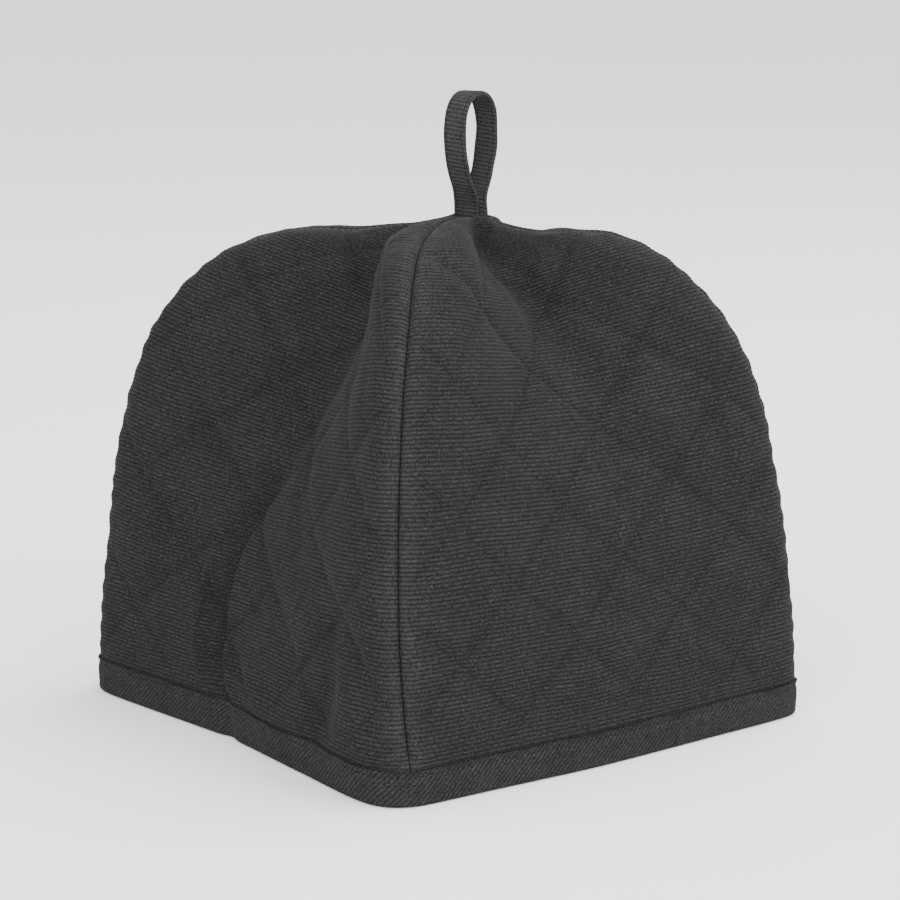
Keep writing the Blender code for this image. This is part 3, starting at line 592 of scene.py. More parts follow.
def fans(fine, coarse, shared):
    """Triangles between two closed rims. shared says which fine corner each coarse one belongs to."""
    faces = []
    count = len(fine)
    for k, start in enumerate(shared):
        end = shared[(k + 1) % len(shared)]
        end = end if end > start else end + count
        here, there = coarse[k], coarse[(k + 1) % len(coarse)]
        middle = (start + end) // 2
        faces += [(fine[j % count], here, fine[(j + 1) % count]) for j in range(start, middle)]
        faces.append((fine[middle % count], here, there))
        faces += [(fine[j % count], there, fine[(j + 1) % count]) for j in range(middle, end)]
    return faces


def thinned(count, step):
    """Every step-th number below count, with the last one."""
    return list(range(0, count - 1, step)) + [count - 1]


def add_mesh(name, points, faces, flat):
    """A smooth mesh object from points in millimetres, with each point's place on the flat cloth as its UV map."""
    mesh = bpy.data.meshes.new(name)
    mesh.from_pydata((np.asarray(points) * MM).tolist(), [], faces)
    mesh.shade_smooth()
    corners = np.empty(len(mesh.loops), int)
    mesh.loops.foreach_get("vertex_index", corners)
    mesh.uv_layers.new(name="cloth").data.foreach_set("uv", (np.asarray(flat) * MM)[corners].ravel())
    thing = bpy.data.objects.new(name, mesh)
    bpy.context.scene.collection.objects.link(thing)
    return thing


def mark(thing, name, values):
    """Keeps a number for each point, for a material to read."""
    thing.data.attributes.new(name, "FLOAT", "POINT").data.foreach_set("value", np.asarray(values, float).ravel())


print("faces of a grid with 3 rows and 3 columns:", len(grid_faces(3, 3)))

# %% [markdown]
# Now the four panels are made. Beside its UV map each one keeps two numbers for the finish: how deep a point lies
# in a fold or beside a row of stitches, for painted shade, and how near it is to a seam, where it rubs.
# %% The panels
INNER_ROW_STEP = 8
INNER_COLUMN_STEP = 5
UV_LEFT = 120.0  # moves a panel's middle line off the UV map's edge
UV_INNER = 500.0  # keeps the inner face's UVs clear of the outer one's
# Painted shade along each row of stitches: how dark it is, and how wide.
PAINTED_SHADE_BESIDE_STITCHES, PAINTED_SHADE_WIDTH = 0.30, 2.4
RUBBED_WIDTH = 7.0
cloth = {}


def add_panel(panel):
    """One panel as a closed slab. Its outer grid is kept for the sewing that follows."""
    heights = cloth_heights()
    share = cloth_shares(panel, heights)
    outer, inner, x, y, edge = cloth_faces(panel, heights, share)
    rows, columns = outer.shape[:2]
    cloth[panel] = (heights, share, outer, x, edge)
    inner_rows, inner_columns = thinned(rows, INNER_ROW_STEP), thinned(columns, INNER_COLUMN_STEP)
    picked = np.ix_(inner_rows, inner_columns)
    size = rows * columns
    faces = grid_faces(rows, columns).tolist()
    faces += grid_faces(len(inner_rows), len(inner_columns), size)[:, ::-1].tolist()
    fine = rim(list(range(rows)), list(range(columns)))
    coarse = rim(inner_rows, inner_columns)
    place = {corner: k for k, corner in enumerate(fine)}
    inner_number = {(r, c): size + i * len(inner_columns) + j
                    for i, r in enumerate(inner_rows) for j, c in enumerate(inner_columns)}
    faces += fans([r * columns + c for r, c in fine], [inner_number[corner] for corner in coarse],
                  [place[corner] for corner in coarse])
    flat = np.stack([x + UV_LEFT, drawn_out(y)], axis=-1)
    points = np.concatenate([outer.reshape(-1, 3), inner[picked].reshape(-1, 3)])
    flats = np.concatenate([flat.reshape(-1, 2), flat[picked].reshape(-1, 2) + np.array([UV_INNER, 0])])
    thing = add_mesh("cloth_" + panel, points, faces, flats)
    # Painted shade: the colour is darkened in folds and along the rows of stitches, where shade falls.
    painted_shade = sum(np.clip(fold(x, y, path), 0, 9) for path in FOLDS[panel]) / 6
    away = np.min(to_quilting(panel, x, y), axis=0)
    quilted = ease((y - QUILTING_FOOT) / QUILTING_RISE) * ease(edge / QUILTING_CLEAR)
    painted_shade = painted_shade + PAINTED_SHADE_BESIDE_STITCHES * np.exp(-(away / PAINTED_SHADE_WIDTH)**2) * quilted
    rubbed = np.exp(-(edge / RUBBED_WIDTH)**2)
    for name, values in (("painted_shade", painted_shade), ("rubbed", rubbed)):
        mark(thing, name, np.concatenate([values.ravel(), values[picked].ravel()]))
    return thing


panels = {panel: add_panel(panel) for panel in PANELS}
for panel, thing in panels.items():
    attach(thing, "root")
    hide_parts("panel_" + panel)
print("faces:", {thing.name: len(thing.data.polygons) for thing in panels.values()})

# %% [markdown]
# The hem is bound: a strip cut at 45 degrees is folded over the raw edges and stitched through. A strip cut on the
# bias stretches round corners, and its ribs run at a slant, which is how the binding is told from the panels. Its
# cross-section is a closed U that follows the panels' edge, drawn point by point and swept round the hem.
# %% The binding
BINDING_COLUMNS = 330  # on each side of the hem
BINDING_ROWS = 20
BIAS = math.radians(45)
BIAS_RIB_DEPTH = 0.20
PRESSED_ROW = 11.6  # the height of the row of stitches
PRESSED_IN, PRESSED_WIDTH = 0.26, 0.8
STRIP_GATHER, STRIP_GATHER_WIDTH, STRIP_GATHER_PITCH = 0.14, 3.5, 6.1
LOWEST_ROW = 1.3  # the height where the strip stands straight, above its turn
STRIP_LIFT = 0.12  # moves the strip out, so that its ribs lie about half outside the solid's face
BULGE = [(1.3, .92), (4.5, 1.0), (9.0, 1.08), (13.5, .8)]
FOLDED_EDGE = [(13.45, .9), (13.75, .55), (13.7, .2)]  # height, and share of the ply, over the strip's top edge


def strip_depth(along, height):
    """How far the outer ply stands back at these places of the strip."""
    phase = (along * math.sin(BIAS) - height * math.cos(BIAS)) / RIB
    ribs = BIAS_RIB_DEPTH * (.5 + .5 * np.cos(2 * math.pi * phase))
    from_row = height - PRESSED_ROW
    pressed = PRESSED_IN * np.exp(-(from_row / PRESSED_WIDTH)**2)
    gathers = STRIP_GATHER * np.exp(-(from_row / STRIP_GATHER_WIDTH)**2)
    gathers = gathers * np.sin(2 * math.pi * along / STRIP_GATHER_PITCH)
    return ribs + pressed + gathers + .18 * uneven(along, height, 26, 71)


def binding_section(panel, start):
    """The binding's cross-section at each column of one panel's hem, and its UVs, as grids."""
    heights = np.linspace(LOWEST_ROW, BINDING_HEIGHT, BINDING_ROWS)
    outer, inner, x, *_ = cloth_faces(panel, heights, np.linspace(0, 1, BINDING_COLUMNS + 1))
    outer, inner, along = outer[:, :-1], inner[:, :-1], start + x[0, :-1] - x[0, 0]
    across = outer - inner
    across[..., 2] = 0
    across /= np.linalg.norm(across, axis=2, keepdims=True)
    outer[..., 2] = inner[..., 2] = heights[:, None]
    thick = BINDING_PLY * smooth(BULGE, heights)
    free = ease((heights - .6) / 2)[:, None]
    front = thick - strip_depth(along[None], heights[:, None]) * free + STRIP_LIFT
    edge_rise = .18 * uneven(along, 0 * along, 31, 72)
    rows = []

    def add(face, k, ply, z=None):
        """One row of the strip's grid: this far out from a face of the cloth, at row k's height or at z."""
        sign = 1 if face is outer else -1
        point = face[k] + sign * across[k] * (BINDING_GAP + np.broadcast_to(ply, along.shape)[:, None])
        point[:, 2] = heights[k] if z is None else z
        rows.append(point)

    add(inner, 0, thick[0] - .5, 0)
    add(outer, 0, thick[0] - .5, 0)
    add(outer, 0, thick[0] - .18, .25)
    add(outer, 0, front[0], .8)
    for k in range(1, BINDING_ROWS):
        add(outer, k, front[k])
    for z, share in FOLDED_EDGE:
        add(outer, -1, front[-1] * share, z + edge_rise)
    coarse = thinned(BINDING_ROWS, 6)
    for k in coarse[::-1]:
        add(outer, k, 0)
    for k in coarse:
        add(inner, k, 0)
    for z, share in FOLDED_EDGE[::-1]:
        add(inner, -1, thick[-1] * share, z)
    for k in thinned(BINDING_ROWS, 3)[:0:-1]:
        add(inner, k, thick[k])
    add(inner, 0, thick[0], .8)
    add(inner, 0, thick[0] - .18, .25)
    points = np.array(rows)
    turned = running(np.linalg.norm(np.diff(points, axis=0), axis=2).mean(axis=1))
    down_to_foot = turned[3] - .8
    flat = np.stack(np.broadcast_arrays(along[None], (turned - down_to_foot)[:, None]), axis=-1)
    return points, flat


def add_binding():
    """The folded strip, swept round the hem into a ring."""
    start, sections = 0.0, []
    for panel in PANELS:
        sections.append(binding_section(panel, start))
        start += hem_length[panel]
    points = np.concatenate([section[0] for section in sections], axis=1)
    flat = np.concatenate([section[1] for section in sections], axis=1)
    faces = tube_faces(*points.shape[:2], closed=True)
    return add_mesh("binding_strip", points.reshape(-1, 3), faces, flat.reshape(-1, 2)), points, flat


binding, binding_points, binding_flat = add_binding()
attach(binding, "root")
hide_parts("binding")
print("binding:", len(binding.data.polygons), "faces,", round(sum(hem_length.values())), "mm round")

# %% [markdown]
# The loop is a strip folded to 10 mm and sewn flat, bent double and caught in the seams. Its middle line is drawn
# as a table too: how far each strand stands out at some heights. The strap's width swings from the seam at its foot
# to face the front left at its top, as it does on the real one, where it shows its inside.
# %% The loop
LOOP_HEIGHT = 50.0
LOOP_SPREAD = 26.0  # between the strands where they part the most
LOOP_SPLAY = 1.6  # how far the tails stand apart along their width
LOOP_TAIL = 7.0  # what is caught in the seams
STRAP_WIDTH = 10.0
STRAP_PLY = 2.1
STRAP_GAP = 0.4
LOOP_TURN = -22.0  # the strap's width points this way at the top of the loop
STRAP_RIB_DEPTH = 0.13
STRAP_SLANT = 0.6  # how far a rib of the strap runs off square, from its middle to its edge
STRAP_STITCH = 3.7  # from the strap's middle to its two rows of stitches
LOOP_SAMPLES = 301
EDGE_WAVER = 0.22  # how uneven the strap's width is
# Half of a section, as (share of the half width, share of the half ply), from one edge's middle to the other's.
STRAP_SIDE = [
    (-1, 0), (-.985, .45), (-.93, .8), (-.84, .98), (-.74, .9), (-.64, .98), (-.45, 1), (-.22, 1), (0, 1),
    (.22, 1), (.45, 1), (.64, .98), (.74, .9), (.84, .98), (.93, .8), (.985, .45)]
# The strands' half distance at some heights, as (height, share of its largest value).
STRAND_SPREAD = [(4, .16), (9, .36), (14, .60), (19, .78), (25, .93), (31, 1.0), (37, .99), (42, .89), (46, .66),
                 (48.3, .34)]


def loop_path(samples):
    """The strap's middle line, as (toward the front strand, up), from one tail to the other."""
    half = (STRAP_PLY + STRAP_GAP) / 2
    side = [(half, -LOOP_TAIL), (half, 0)] + [(LOOP_SPREAD / 2 * wide, z) for z, wide in STRAND_SPREAD]
    points = np.array(side + [(0, LOOP_HEIGHT - STRAP_PLY / 2)] + [(-x, z) for x, z in reversed(side)])
    run = running(np.linalg.norm(np.diff(points, axis=0), axis=1))
    at = np.linspace(0, run[-1], samples)
    return smooth(np.column_stack([run, points]), at), at


def strap_frames():
    """The strap's middle points, the ways across its width and out of its face, and the run so far, in mm."""
    line, run = loop_path(LOOP_SAMPLES)
    way = np.gradient(line, axis=0)
    way /= np.linalg.norm(way, axis=1, keepdims=True)
    z = line[:, 1]
    turn = LOOP_TURN * ease(z / 18)
    wide, front = compass(turn), compass(turn - 90)
    splay = -np.sign(line[:, 0]) * LOOP_SPLAY * (1 - ease(z / 20))
    middle = np.array([APEX_X, APEX_Y, APEX_Z]) + front * line[:, :1] + wide * splay[:, None]
    middle[:, 2] += z
    face = -way[:, 1:] * front
    face[:, 2] += way[:, 0]
    return middle, wide, face, run


def add_loop():
    """The strap as a closed sleeve, with its ribs across it."""
    middle, wide, face, run = strap_frames()
    ring = STRAP_SIDE + [(-w, -t) for w, t in STRAP_SIDE]
    w, t = np.array(ring).T
    slanted = run[:, None] + STRAP_SLANT * w * np.sign(run[-1] / 2 - run[:, None])
    ribs = STRAP_RIB_DEPTH * (.5 + .5 * np.cos(2 * math.pi * slanted / RIB)) * abs(t) * np.sign(t)
    uneven_width = EDGE_WAVER * uneven(run, run * 0, 17, 81)[:, None] * np.sign(w) * (abs(w) > .9)
    sideways = w * STRAP_WIDTH / 2 + uneven_width
    off = t * STRAP_PLY / 2 - ribs
    points = middle[:, None] + wide[:, None] * sideways[..., None] + face[:, None] * off[..., None]
    rings, size = points.shape[:2]
    faces = tube_faces(rings, size, closed=False)
    faces += [list(range(size))[::-1], list(range((rings - 1) * size, rings * size))]
    step = np.hypot(np.diff(w, prepend=w[-1]) * STRAP_WIDTH / 2, np.diff(t, prepend=t[-1]) * STRAP_PLY / 2)
    flat = np.stack(np.broadcast_arrays(slanted, np.cumsum(step)[None]), axis=-1)
    return add_mesh("hanging_loop", points.reshape(-1, 3), faces, flat.reshape(-1, 2))


loop = add_loop()
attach(loop, "root")
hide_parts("loop")
print("the strap is", round(loop_path(LOOP_SAMPLES)[1][-1]), "mm long")

# %% [markdown]
# One stitch is modelled and then copied. It starts as a six-sided disc, which is extruded four times and
# narrowed at its ends, so that it dips into the cloth on both sides. Its length is 1 along Z and its thickness 1,
# so that a copy can be stretched to any real size. Scale and place are worked out for all copies at once.
# %% One stitch
STITCH_SIDES = 6
STRAND_START = Vector((-.45, 0, -.5))
STRAND_TIP = 0.26  # the radius of a strand's first end
# Steps of the extrusion: how far along, how far it rises, and the girth there beside the one before.
STITCH_STEPS = [(.17, .42, 1.9), (.33, .16, 1.1), (.33, -.16, .91), (.17, -.42, .52)]


def model_strand(name, sides, steps):
    """A short strand along Z, modelled with the operators of edit mode. Returns its points and faces."""
    bpy.ops.object.select_all(action="DESELECT")
    bpy.ops.mesh.primitive_circle_add(vertices=sides, radius=STRAND_TIP, fill_type="NGON", location=STRAND_START)
    strand = bpy.context.object
    strand.name = name
    bpy.ops.object.mode_set(mode="EDIT")
    bpy.ops.mesh.select_all(action="SELECT")
    center = STRAND_START.copy()
    for along, rise, girth in steps:
        step = Vector((rise, 0, along))
        bpy.ops.mesh.extrude_region_move(TRANSFORM_OT_translate={"value": step})
        center += step
        bpy.ops.transform.resize(value=(girth, girth, 1), center_override=center)
    bpy.ops.mesh.select_all(action="SELECT")
    bpy.ops.mesh.normals_make_consistent(inside=False)
    bpy.ops.object.mode_set(mode="OBJECT")
    bpy.ops.object.transform_apply(location=True, rotation=True, scale=True)
    points = np.array([vertex.co[:] for vertex in strand.data.vertices])
    faces = [list(face.vertices) for face in strand.data.polygons]
    bpy.data.objects.remove(strand, do_unlink=True)
    return points, faces


stitch = model_strand("stitch", STITCH_SIDES, STITCH_STEPS)
print("a stitch has", len(stitch[0]), "points and", len(stitch[1]), "faces")

# %% [markdown]
# All the copies of one kind, such as a panel's quilting stitches, are joined into one mesh, because thousands of
# objects would be slow. A copy needs a place, the way it runs and the way out of the cloth: the third way follows
# from a cross product.
# %% Rows of copies
def unit(vectors):
    """The same ways with a length of 1."""
    return vectors / np.maximum(np.linalg.norm(vectors, axis=-1, keepdims=True), 1e-9)


def add_copies(name, strand, places, ways, outs, length, thickness, sink=0.0):
    """One mesh with a copy of the strand at each place, in millimetres."""
    points, faces = strand
    ways = unit(ways)
    outs = unit(outs - ways * (outs * ways).sum(axis=-1, keepdims=True))
    sides = np.cross(ways, outs)
    length, thickness = (np.broadcast_to(size, len(places))[:, None, None] for size in (length, thickness))
    out, side, way = (points[None, :, k:k + 1] for k in range(3))
    moved = (places - outs * sink)[:, None] + thickness * out * outs[:, None]
    moved = moved + thickness * side * sides[:, None] + length * way * ways[:, None]
    count = len(points)
    all_faces = [[corner + k * count for corner in face] for k in range(len(places)) for face in faces]
    column = np.repeat(np.arange(len(places)) % 50 * 10.0, count)
    flat = np.stack([column, np.tile(points[:, 2] * 3 + 2, len(places))], axis=-1)
    thing = add_mesh(name, moved.reshape(-1, 3), all_faces, flat)
    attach(thing, "root")
    return thing


def on_cloth(panel, x, y):
    """Places on a panel's outer face, and the ways out of it there, for points of the flat cloth."""
    heights, share, outer, flat_x, _ = cloth[panel]
    r = np.interp(y, heights, np.arange(len(heights)))
    row = np.clip(r.astype(int), 4, len(heights) - 6)
    spots = .5 - .5 * x / flat_x[row, 0]
    c = np.array([np.interp(spot, share[k], np.arange(share.shape[1])) for spot, k in zip(spots, row)])
    column = np.clip(c.astype(int), 2, share.shape[1] - 4)
    fr, fc = (r - row)[:, None], (c - column)[:, None]
    below = (1 - fc) * outer[row, column] + fc * outer[row, column + 1]
    above = (1 - fc) * outer[row + 1, column] + fc * outer[row + 1, column + 1]
    along = outer[row, column + 2] - outer[row, column - 2]
    up = outer[row + 4, column] - outer[row - 4, column]
    return (1 - fr) * below + fr * above, unit(np.cross(along, up))


print("a point of the cloth:", on_cloth("front_right", np.array([0.0]), np.array([120.0]))[0].round(1).tolist())

# %% [markdown]
# The diamonds are sewn in nearly straight rows on the flat cloth, falling and rising at 45 degrees. Each stitch is
# laid down at its place on the flat panel and then lifted onto the folded one, so the rows follow every fold as
# thread does.
# %% Quilting stitches
STITCH_PITCH = 3.4
STITCH_LENGTH = 2.5
THREAD = 0.26
QUILTED_FROM, QUILTED_TO = 18.0, 236.0
CLEAR_OF_SEAM = 4.0


def quilting_rows(panel):
    """The middles and the ways of a panel's quilting stitches on the flat cloth."""
    falling, falling_step, rising, rising_step, _ = QUILTING[panel]
    heights, _, _, flat_x, _ = cloth[panel]
    run = np.arange(-125, 125, STITCH_PITCH / math.sqrt(2))
    spots = []
    for k in range(-8, 9):
        spots += [(run, falling + k * falling_step - run + wander(panel, run, 0), -1),
                  (run, rising + k * rising_step + run + wander(panel, run, 1), 1)]
    x = np.concatenate([spot[0] for spot in spots])
    y = np.concatenate([spot[1] for spot in spots])
    slope = np.repeat([spot[2] for spot in spots], len(run))
    half = np.interp(y, heights, -flat_x[:, 0])
    kept = (y > QUILTED_FROM) & (y < QUILTED_TO) & (half - abs(x) > CLEAR_OF_SEAM)
    return x[kept], y[kept], slope[kept]


def sew_quilting(panel):
    """A panel's quilting thread as one mesh."""
    x, y, slope = quilting_rows(panel)
    place, out = on_cloth(panel, x, y)
    ahead, _ = on_cloth(panel, x + .8, y + .8 * slope)
    return add_copies("quilting_" + panel, stitch, place, ahead - place, out, STITCH_LENGTH, THREAD)


quilting_thread = {panel: sew_quilting(panel) for panel in PANELS}
print("quilting faces:", {thing.name: len(thing.data.polygons) for thing in quilting_thread.values()})

# %% [markdown]
# The other rows of thread hold two pieces or two plies together: down in each seam's groove, along the binding's
# outer side, and beside both edges of the loop. Their places come from the grids of the pieces that they hold.
# %% Seam, binding and loop stitches
SEAM_PITCH = 2.9
SEAM_DEPTH = 0.5
BINDING_PITCH = 3.05
LOOP_PITCH = 2.7
CLEAR_OF_LOOP_END = 8.0
# Length and thickness of the stitches.
SEAM_STITCH, BINDING_STITCH, LOOP_STITCH = (2.2, .36), (2.3, THREAD), (2.0, .32)


def sew_seam(first, second):
    """The thread in the seam where one panel ends and the next begins."""
    heights, _, left, _, _ = cloth[first]
    right = cloth[second][2]
    middle = (left[:, -1] + right[:, 0]) / 2
    y = np.arange(QUILTED_FROM, QUILTED_TO + 3, SEAM_PITCH)
    place, ahead = (read_at(at, heights, middle) for at in (y, y + 1.5))
    bridge = read_at(y, heights, right[:, 4] - left[:, -5])
    return place, ahead - place, np.cross(bridge, ahead - place)


def sew_binding(row):
    """The thread along the binding, from a row of its grid."""
    run = binding_flat[row, :, 0]
    at = np.arange(2, run[-1] - 2, BINDING_PITCH)
    place, ahead = (read_at(s, run, binding_points[row]) for s in (at, at + 1.2))
    return place, ahead - place, np.cross(ahead - place, np.array([0, 0, 1.0]))


def sew_loop():
    """The thread beside both edges of the strap, on both of its faces."""
    middle, wide, face, run = strap_frames()
    at = np.arange(CLEAR_OF_LOOP_END, run[-1] - CLEAR_OF_LOOP_END, LOOP_PITCH)
    k = np.interp(at, run, np.arange(len(run))).astype(int)
    way = np.gradient(middle, axis=0)[k]
    rows = [(side, sign) for side in (-1, 1) for sign in (-1, 1)]
    place = np.concatenate([middle[k] + side * STRAP_STITCH * wide[k] + sign * face[k] * (STRAP_PLY / 2 - .14)
                            for side, sign in rows])
    return place, np.tile(way, (4, 1)), np.concatenate([sign * face[k] for _, sign in rows])


seams = [sew_seam(first, second) for first, second in zip(ORDER, ORDER[1:] + ORDER[:1])]
place, way, out = (np.concatenate(part) for part in zip(*seams))
seam_thread = add_copies("seam_stitches", stitch, place, way, out, *SEAM_STITCH, SEAM_DEPTH)
share_of_height = (PRESSED_ROW - LOWEST_ROW) / (BINDING_HEIGHT - LOWEST_ROW)
pressed_row = 3 + round(share_of_height * (BINDING_ROWS - 1))  # three rows of the grid lie in the turn below
binding_thread = add_copies("binding_stitches", stitch, *sew_binding(pressed_row), *BINDING_STITCH)
loop_thread = add_copies("loop_stitches", stitch, *sew_loop(), *LOOP_STITCH)
print("stitch faces:", [len(thing.data.polygons) for thing in (seam_thread, binding_thread, loop_thread)])

# %% [markdown]
# Dark cotton picks up lint: pale fibres a millimetre long that lie on the ribs. They are tiny, but on black cloth
# they are what the eye finds first. A finer strand, with three sides, is modelled the same way and scattered over
# the panels with a seeded draw.
# %% Lint
LINT_ON_A_PANEL = 260
LINT_STEPS = [(.35, .5, 1.4), (.3, .5, 1.0), (.35, -.6, .7)]
LINT_THICKNESS = 0.085
LINT_FROM, LINT_SPAN = 17, 215  # heights on the flat cloth


def scatter_lint():
    """Fibres strewn over the four panels as one mesh."""
    chance = np.random.default_rng(5)
    places, ways, outs = [], [], []
    for panel in PANELS:
        x, y, turn = chance.random((3, LINT_ON_A_PANEL))
        y = LINT_FROM + LINT_SPAN * y**1.2
        half = np.interp(y, cloth[panel][0], -cloth[panel][3][:, 0]) - 3
        x = (2 * x - 1) * half
        place, out = on_cloth(panel, x, y)
        ahead, _ = on_cloth(panel, x + np.cos(2 * math.pi * turn), y + np.sin(2 * math.pi * turn))
        places.append(place + out * .12)
        ways.append(ahead - place)
        outs.append(out)
    length = .5 + 1.2 * chance.random(len(PANELS) * LINT_ON_A_PANEL)**2
    strewn = (np.concatenate(part) for part in (places, ways, outs))
    return add_copies("lint", model_strand("fibre", 3, LINT_STEPS), *strewn, length, LINT_THICKNESS)


lint = scatter_lint()
print("fibres of lint:", LINT_ON_A_PANEL * len(PANELS))

# %% [markdown]
# Materials are sums of patterns, and sums read best as sums. Wire wraps a socket of a shader node, and its
# operators add Math nodes, so 1 - groove builds a subtraction. Finish holds one material, and its node method adds
# any node: first the node's own settings, then the values or wires of its sockets.
# %% Shader sums
class Wire:
    """An output socket that takes part in sums with numbers and other wires."""

    def __init__(self, finish, socket):
        self.finish = finish
        self.socket = socket

    def __add__(self, other):
        return self.finish.sum("ADD", self, other)

    def __radd__(self, other):
        return self.finish.sum("ADD", other, self)

    def __sub__(self, other):
        return self.finish.sum("SUBTRACT", self, other)

    def __rsub__(self, other):
        return self.finish.sum("SUBTRACT", other, self)

    def __mul__(self, other):
        return self.finish.sum("MULTIPLY", self, other)

    def __rmul__(self, other):
        return self.finish.sum("MULTIPLY", other, self)

    def output(self, name):
        """Another output of the same node."""
        return Wire(self.finish, self.socket.node.outputs[name])


class Finish:
    """A material with a Principled surface, and the means to feed it."""

    def __init__(self, name, constants):
        self.material = bpy.data.materials.new(name)
        self.material.use_nodes = True
        self.tree = self.material.node_tree
        self.surface = self.tree.nodes["Principled BSDF"]
        for socket, value in constants.items():
            self.surface.inputs[socket].default_value = value

    def node(self, kind, settings, inputs, output=0):
        """Adds a node, with its settings first and then its sockets' values or wires."""
        made = self.tree.nodes.new(kind)
        for name, value in settings.items():
            setattr(made, name, value)
        for socket, value in inputs.items():
            if isinstance(value, Wire):
                self.tree.links.new(value.socket, made.inputs[socket])
            else:
                made.inputs[socket].default_value = value
        return Wire(self, made.outputs[output])

    def sum(self, operation, first, second):
        return self.node("ShaderNodeMath", {"operation": operation}, {0: first, 1: second})

    def between(self, value, low, high):
        """0 where the value is under low, 1 where it is over high, with a soft step."""
        return self.node("ShaderNodeMapRange", {"interpolation_type": "SMOOTHSTEP"},
                         {"Value": value, "From Min": low, "From Max": high})

    def wave(self, phase):
        """0 at each whole number and 1 halfway to the next one."""
        turns = self.node("ShaderNodeMath", {"operation": "COSINE"}, {0: phase * (2 * math.pi)})
        return .5 - .5 * turns

    def blend(self, share, first, second):
        """A colour between two others."""
        return self.node("ShaderNodeMix", {"data_type": "RGBA"}, {0: share, 6: first, 7: second}, 2)

    def point(self, x, y):
        """A pattern's coordinates."""
        return self.node("ShaderNodeCombineXYZ", {}, {"X": x, "Y": y})

    def noise(self, x, y, detail=2.0):
        """Soft noise from 0 to 1, one lump wide for each whole number."""
        return self.node("ShaderNodeTexNoise", {}, {"Vector": self.point(x, y), "Scale": 1.0, "Detail": detail})

    def feed(self, socket, wire):
        self.tree.links.new(wire.socket, self.surface.inputs[socket])

    def dress(self, *things):
        """Gives this material to these objects."""
        for thing in things:
            thing.data.materials.clear()
            thing.data.materials.append(self.material)


print("shader sums are ready")

# %% [markdown]
# The cotton is nearly black, with a soft, dry surface. Between its ribs it is darker, because the thread there
# lies in shade. A rib is not one even line either: its threads cover it in dashes of a few millimetres, for which
# the noise is read along the rib at its own number, and finer grain lies over both. Paler specks of lint, a faint
# mottle from washing and a rubbed look at the seams keep it from looking like plastic. Every pattern reads the UV
# map, which is the flat cloth, so it follows the folds.
# %% Ribbed cotton
CHARCOAL = (.0098, .0098, .0101, 1)
WORN = (.040, .040, .0405, 1)
GROOVE = (.0056, .0056, .0058, 1)
SPECK = (.11, .11, .107, 1)
COTTON = {"Roughness": .92, "Sheen Weight": .024, "Sheen Roughness": .35, "Specular IOR Level": .03}
GRAIN, LUMPS, MOTTLE, DASHES = 1.9, 1.0, .045, .42  # how many of them go into a millimetre
BUMP = .00016


def ribbed_cotton(name, weave, tone=.25, marks=True):
    """Black ribbed cotton. weave turns a place on the flat cloth, in mm, into a count of ribs and a way along."""
    finish = Finish(name, COTTON)
    flat = finish.node("ShaderNodeUVMap", {"uv_map": "cloth"}, {})
    split = finish.node("ShaderNodeSeparateXYZ", {}, {"Vector": flat})
    u, v = split * (1 / MM), split.output("Y") * (1 / MM)
    count, along = weave(u, v)
    groove = 1 - finish.wave(count)
    rib = finish.node("ShaderNodeMath", {"operation": "FLOOR"}, {0: count})
    dashes = finish.noise(along * DASHES, rib * 7.3)
    grain = finish.noise(u * GRAIN, v * GRAIN, 1.0)
    lumps = finish.noise(u * LUMPS, v * LUMPS, 1.0)
    mottle = finish.noise(u * MOTTLE, v * MOTTLE, 3.0)
    spread = finish.point(u * .62, v * .8)
    cells = finish.node("ShaderNodeTexVoronoi", {}, {"Vector": spread, "Scale": 1.0}, "Distance")
    present = finish.node("ShaderNodeSeparateXYZ", {}, {"Vector": cells.output("Color")})
    speck = (1 - finish.between(cells, .05, .14)) * finish.between(present, .55, .60)
    pale = tone + 1.1 * (grain - .5) + 1.0 * (lumps - .5) + .5 * (dashes - .5) + .26 * (mottle - .5) - .18 * groove
    if marks:
        # Painted shade: the colour is darker in folds and beside rows of stitches. At the seams it is paler, as
        # rubbed cloth.
        painted_shade = finish.node("ShaderNodeAttribute", {"attribute_name": "painted_shade"}, {}, "Fac")
        rubbed = finish.node("ShaderNodeAttribute", {"attribute_name": "rubbed"}, {}, "Fac")
        pale = pale + .18 * rubbed - .13 * painted_shade
    colour = finish.blend(finish.between(pale, -.2, 1.0), CHARCOAL, WORN)
    colour = finish.blend(finish.between(groove, .5, 1.1) * .5, colour, GROOVE)
    colour = finish.blend(speck * (.35 + .65 * present.output("Y")), colour, SPECK)
    finish.feed("Base Color", colour)
    height = grain * .7 + lumps * .5 + speck * .5
    finish.feed("Normal", finish.node("ShaderNodeBump", {}, {"Strength": 1.0, "Distance": BUMP, "Height": height}))
    return finish


def straight_weave(u, v):
    return v * (1 / RIB), u


def bias_weave(u, v):
    slanted = u * (math.cos(BIAS) / RIB) + v * (math.sin(BIAS) / RIB)
    return u * (math.sin(BIAS) / RIB) - v * (math.cos(BIAS) / RIB), slanted


def strap_weave(u, v):
    return u * (1 / RIB), v


panel_cotton = ribbed_cotton("ribbed_cotton", straight_weave)
panel_cotton.dress(*panels.values())
bias_cotton = ribbed_cotton("bias_cut_cotton", bias_weave, tone=.36, marks=False)
bias_cotton.dress(binding)
strap_cotton = ribbed_cotton("strap_cotton", strap_weave, tone=.58, marks=False)
strap_cotton.dress(loop)
print("cotton finishes:", [finish.material.name for finish in (panel_cotton, bias_cotton, strap_cotton)])

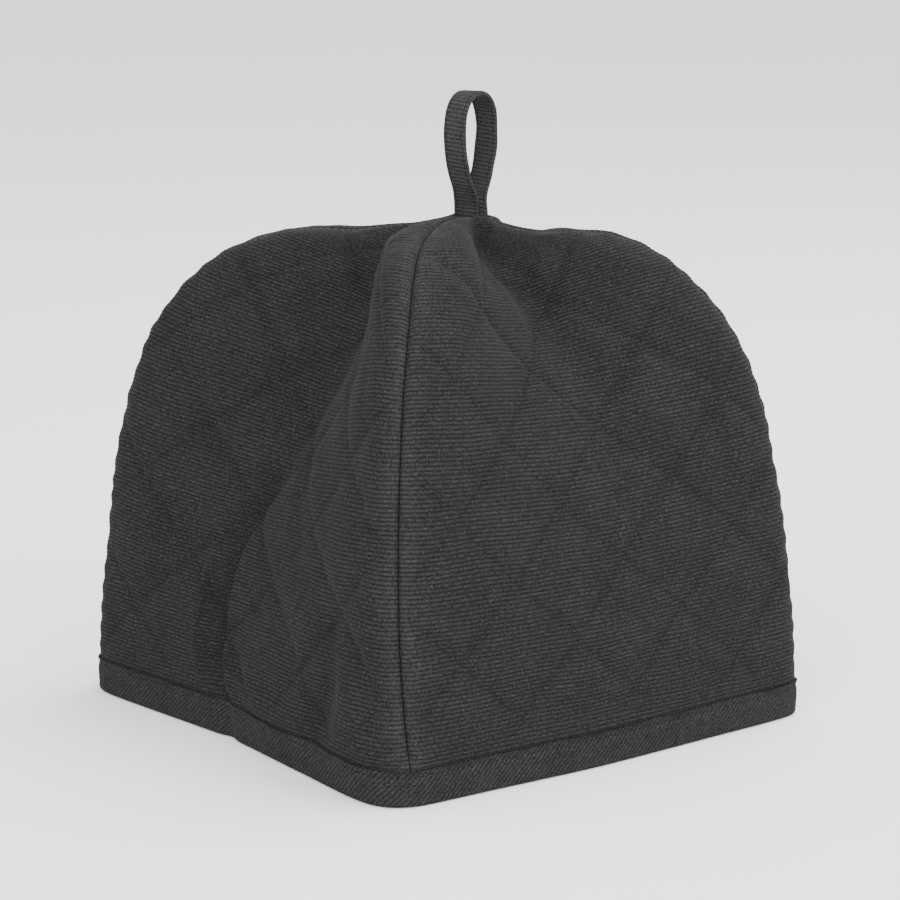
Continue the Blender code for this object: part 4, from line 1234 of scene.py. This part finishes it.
# %% [markdown]
# Sewing thread is a little smoother than the cloth, but darker, because it doesn't fray. The lint is pale cotton.
# Both are far finer than a texture's grain, so a slow change of tone on Object coordinates is all that can be seen
# of them.
# %% Thread and lint
def strand_finish(name, dark, pale, constants):
    """A strand's finish, with a slow change of tone along the cosy."""
    finish = Finish(name, constants)
    place = finish.node("ShaderNodeTexCoord", {}, {}, "Object")
    tone = finish.node("ShaderNodeTexNoise", {}, {"Vector": place, "Scale": 420.0, "Detail": 2.0})
    finish.feed("Base Color", finish.blend(tone, dark, pale))
    return finish


thread = strand_finish("black_thread", (.004, .004, .004, 1), (.014, .014, .0145, 1),
                       {"Roughness": .85, "Specular IOR Level": .10})
thread.dress(*quilting_thread.values(), seam_thread, binding_thread, loop_thread)
lint_cotton = strand_finish("pale_lint", (.05, .05, .05, 1), (.20, .20, .19, 1), {"Roughness": .95})
lint_cotton.dress(lint)
print("strand finishes:", thread.material.name, lint_cotton.material.name)

# %% [markdown]
# The hem's length and the strap's length are worked out in metres, and the pieces of cloth are counted. A panel
# narrows towards the loop, so its flat area is less than its rectangle's.
# %% Hem and strap lengths
hem = sum(hem_length.values()) * MM
loop_path(LOOP_SAMPLES)[1][-1] * MM
print("sheets:", len(panels) + 2)

# %% [markdown]
# The cosy is shown as on a shop's page: on a white table that runs out of the picture, in a white room. The room's
# light comes from everywhere, and three large soft lamps give it a direction: one to the right, one above and
# behind, and one in front, a little to the left. The left side has none, so the fold there keeps some shade.
# %% Table and lights
TABLE_SIZE = 60
TABLE_DROP = 0.0004  # keeps the table's face off the hem's
# Where each lamp stands, its size in metres and its power in watts.
LAMPS = {
    "key": ((2.0, -.9, 1.4), 1.2, 34),
    "top": ((.7, .6, 1.8), 1.4, 36),
    "fill": ((-.3, -2.2, 1.2), 1.4, 52),
}
ROOM_LIGHT = 1.8

bpy.ops.object.select_all(action="DESELECT")
bpy.ops.mesh.primitive_plane_add(size=TABLE_SIZE, location=(0, 0, -TABLE_DROP))
table = bpy.context.object
table.name = "table"
bpy.ops.object.transform_apply(location=True, rotation=True, scale=True)
table_finish = Finish("white_table", {"Roughness": .8, "Specular IOR Level": .2})
table_place = table_finish.node("ShaderNodeTexCoord", {}, {}, "Object")
table_tone = table_finish.node("ShaderNodeTexNoise", {}, {"Vector": table_place, "Scale": 2.0})
table_finish.feed("Base Color", table_finish.blend(table_tone, (.90, .90, .90, 1), (.93, .93, .93, 1)))
table_finish.dress(table)

for name, (place, size, power) in LAMPS.items():
    bpy.ops.object.light_add(type="AREA", location=place)
    lamp = bpy.context.object
    lamp.name = name
    lamp.data.size = size
    lamp.data.energy = power
    lamp.rotation_euler = (TARGET - Vector(place)).to_track_quat("-Z", "Y").to_euler()
room = bpy.data.worlds.new("room")
bpy.context.scene.world = room
room.use_nodes = True
background = room.node_tree.nodes["Background"]
background.inputs["Color"].default_value = (1, 1, 1, 1)
background.inputs["Strength"].default_value = ROOM_LIGHT
print("lamps:", ", ".join(LAMPS))
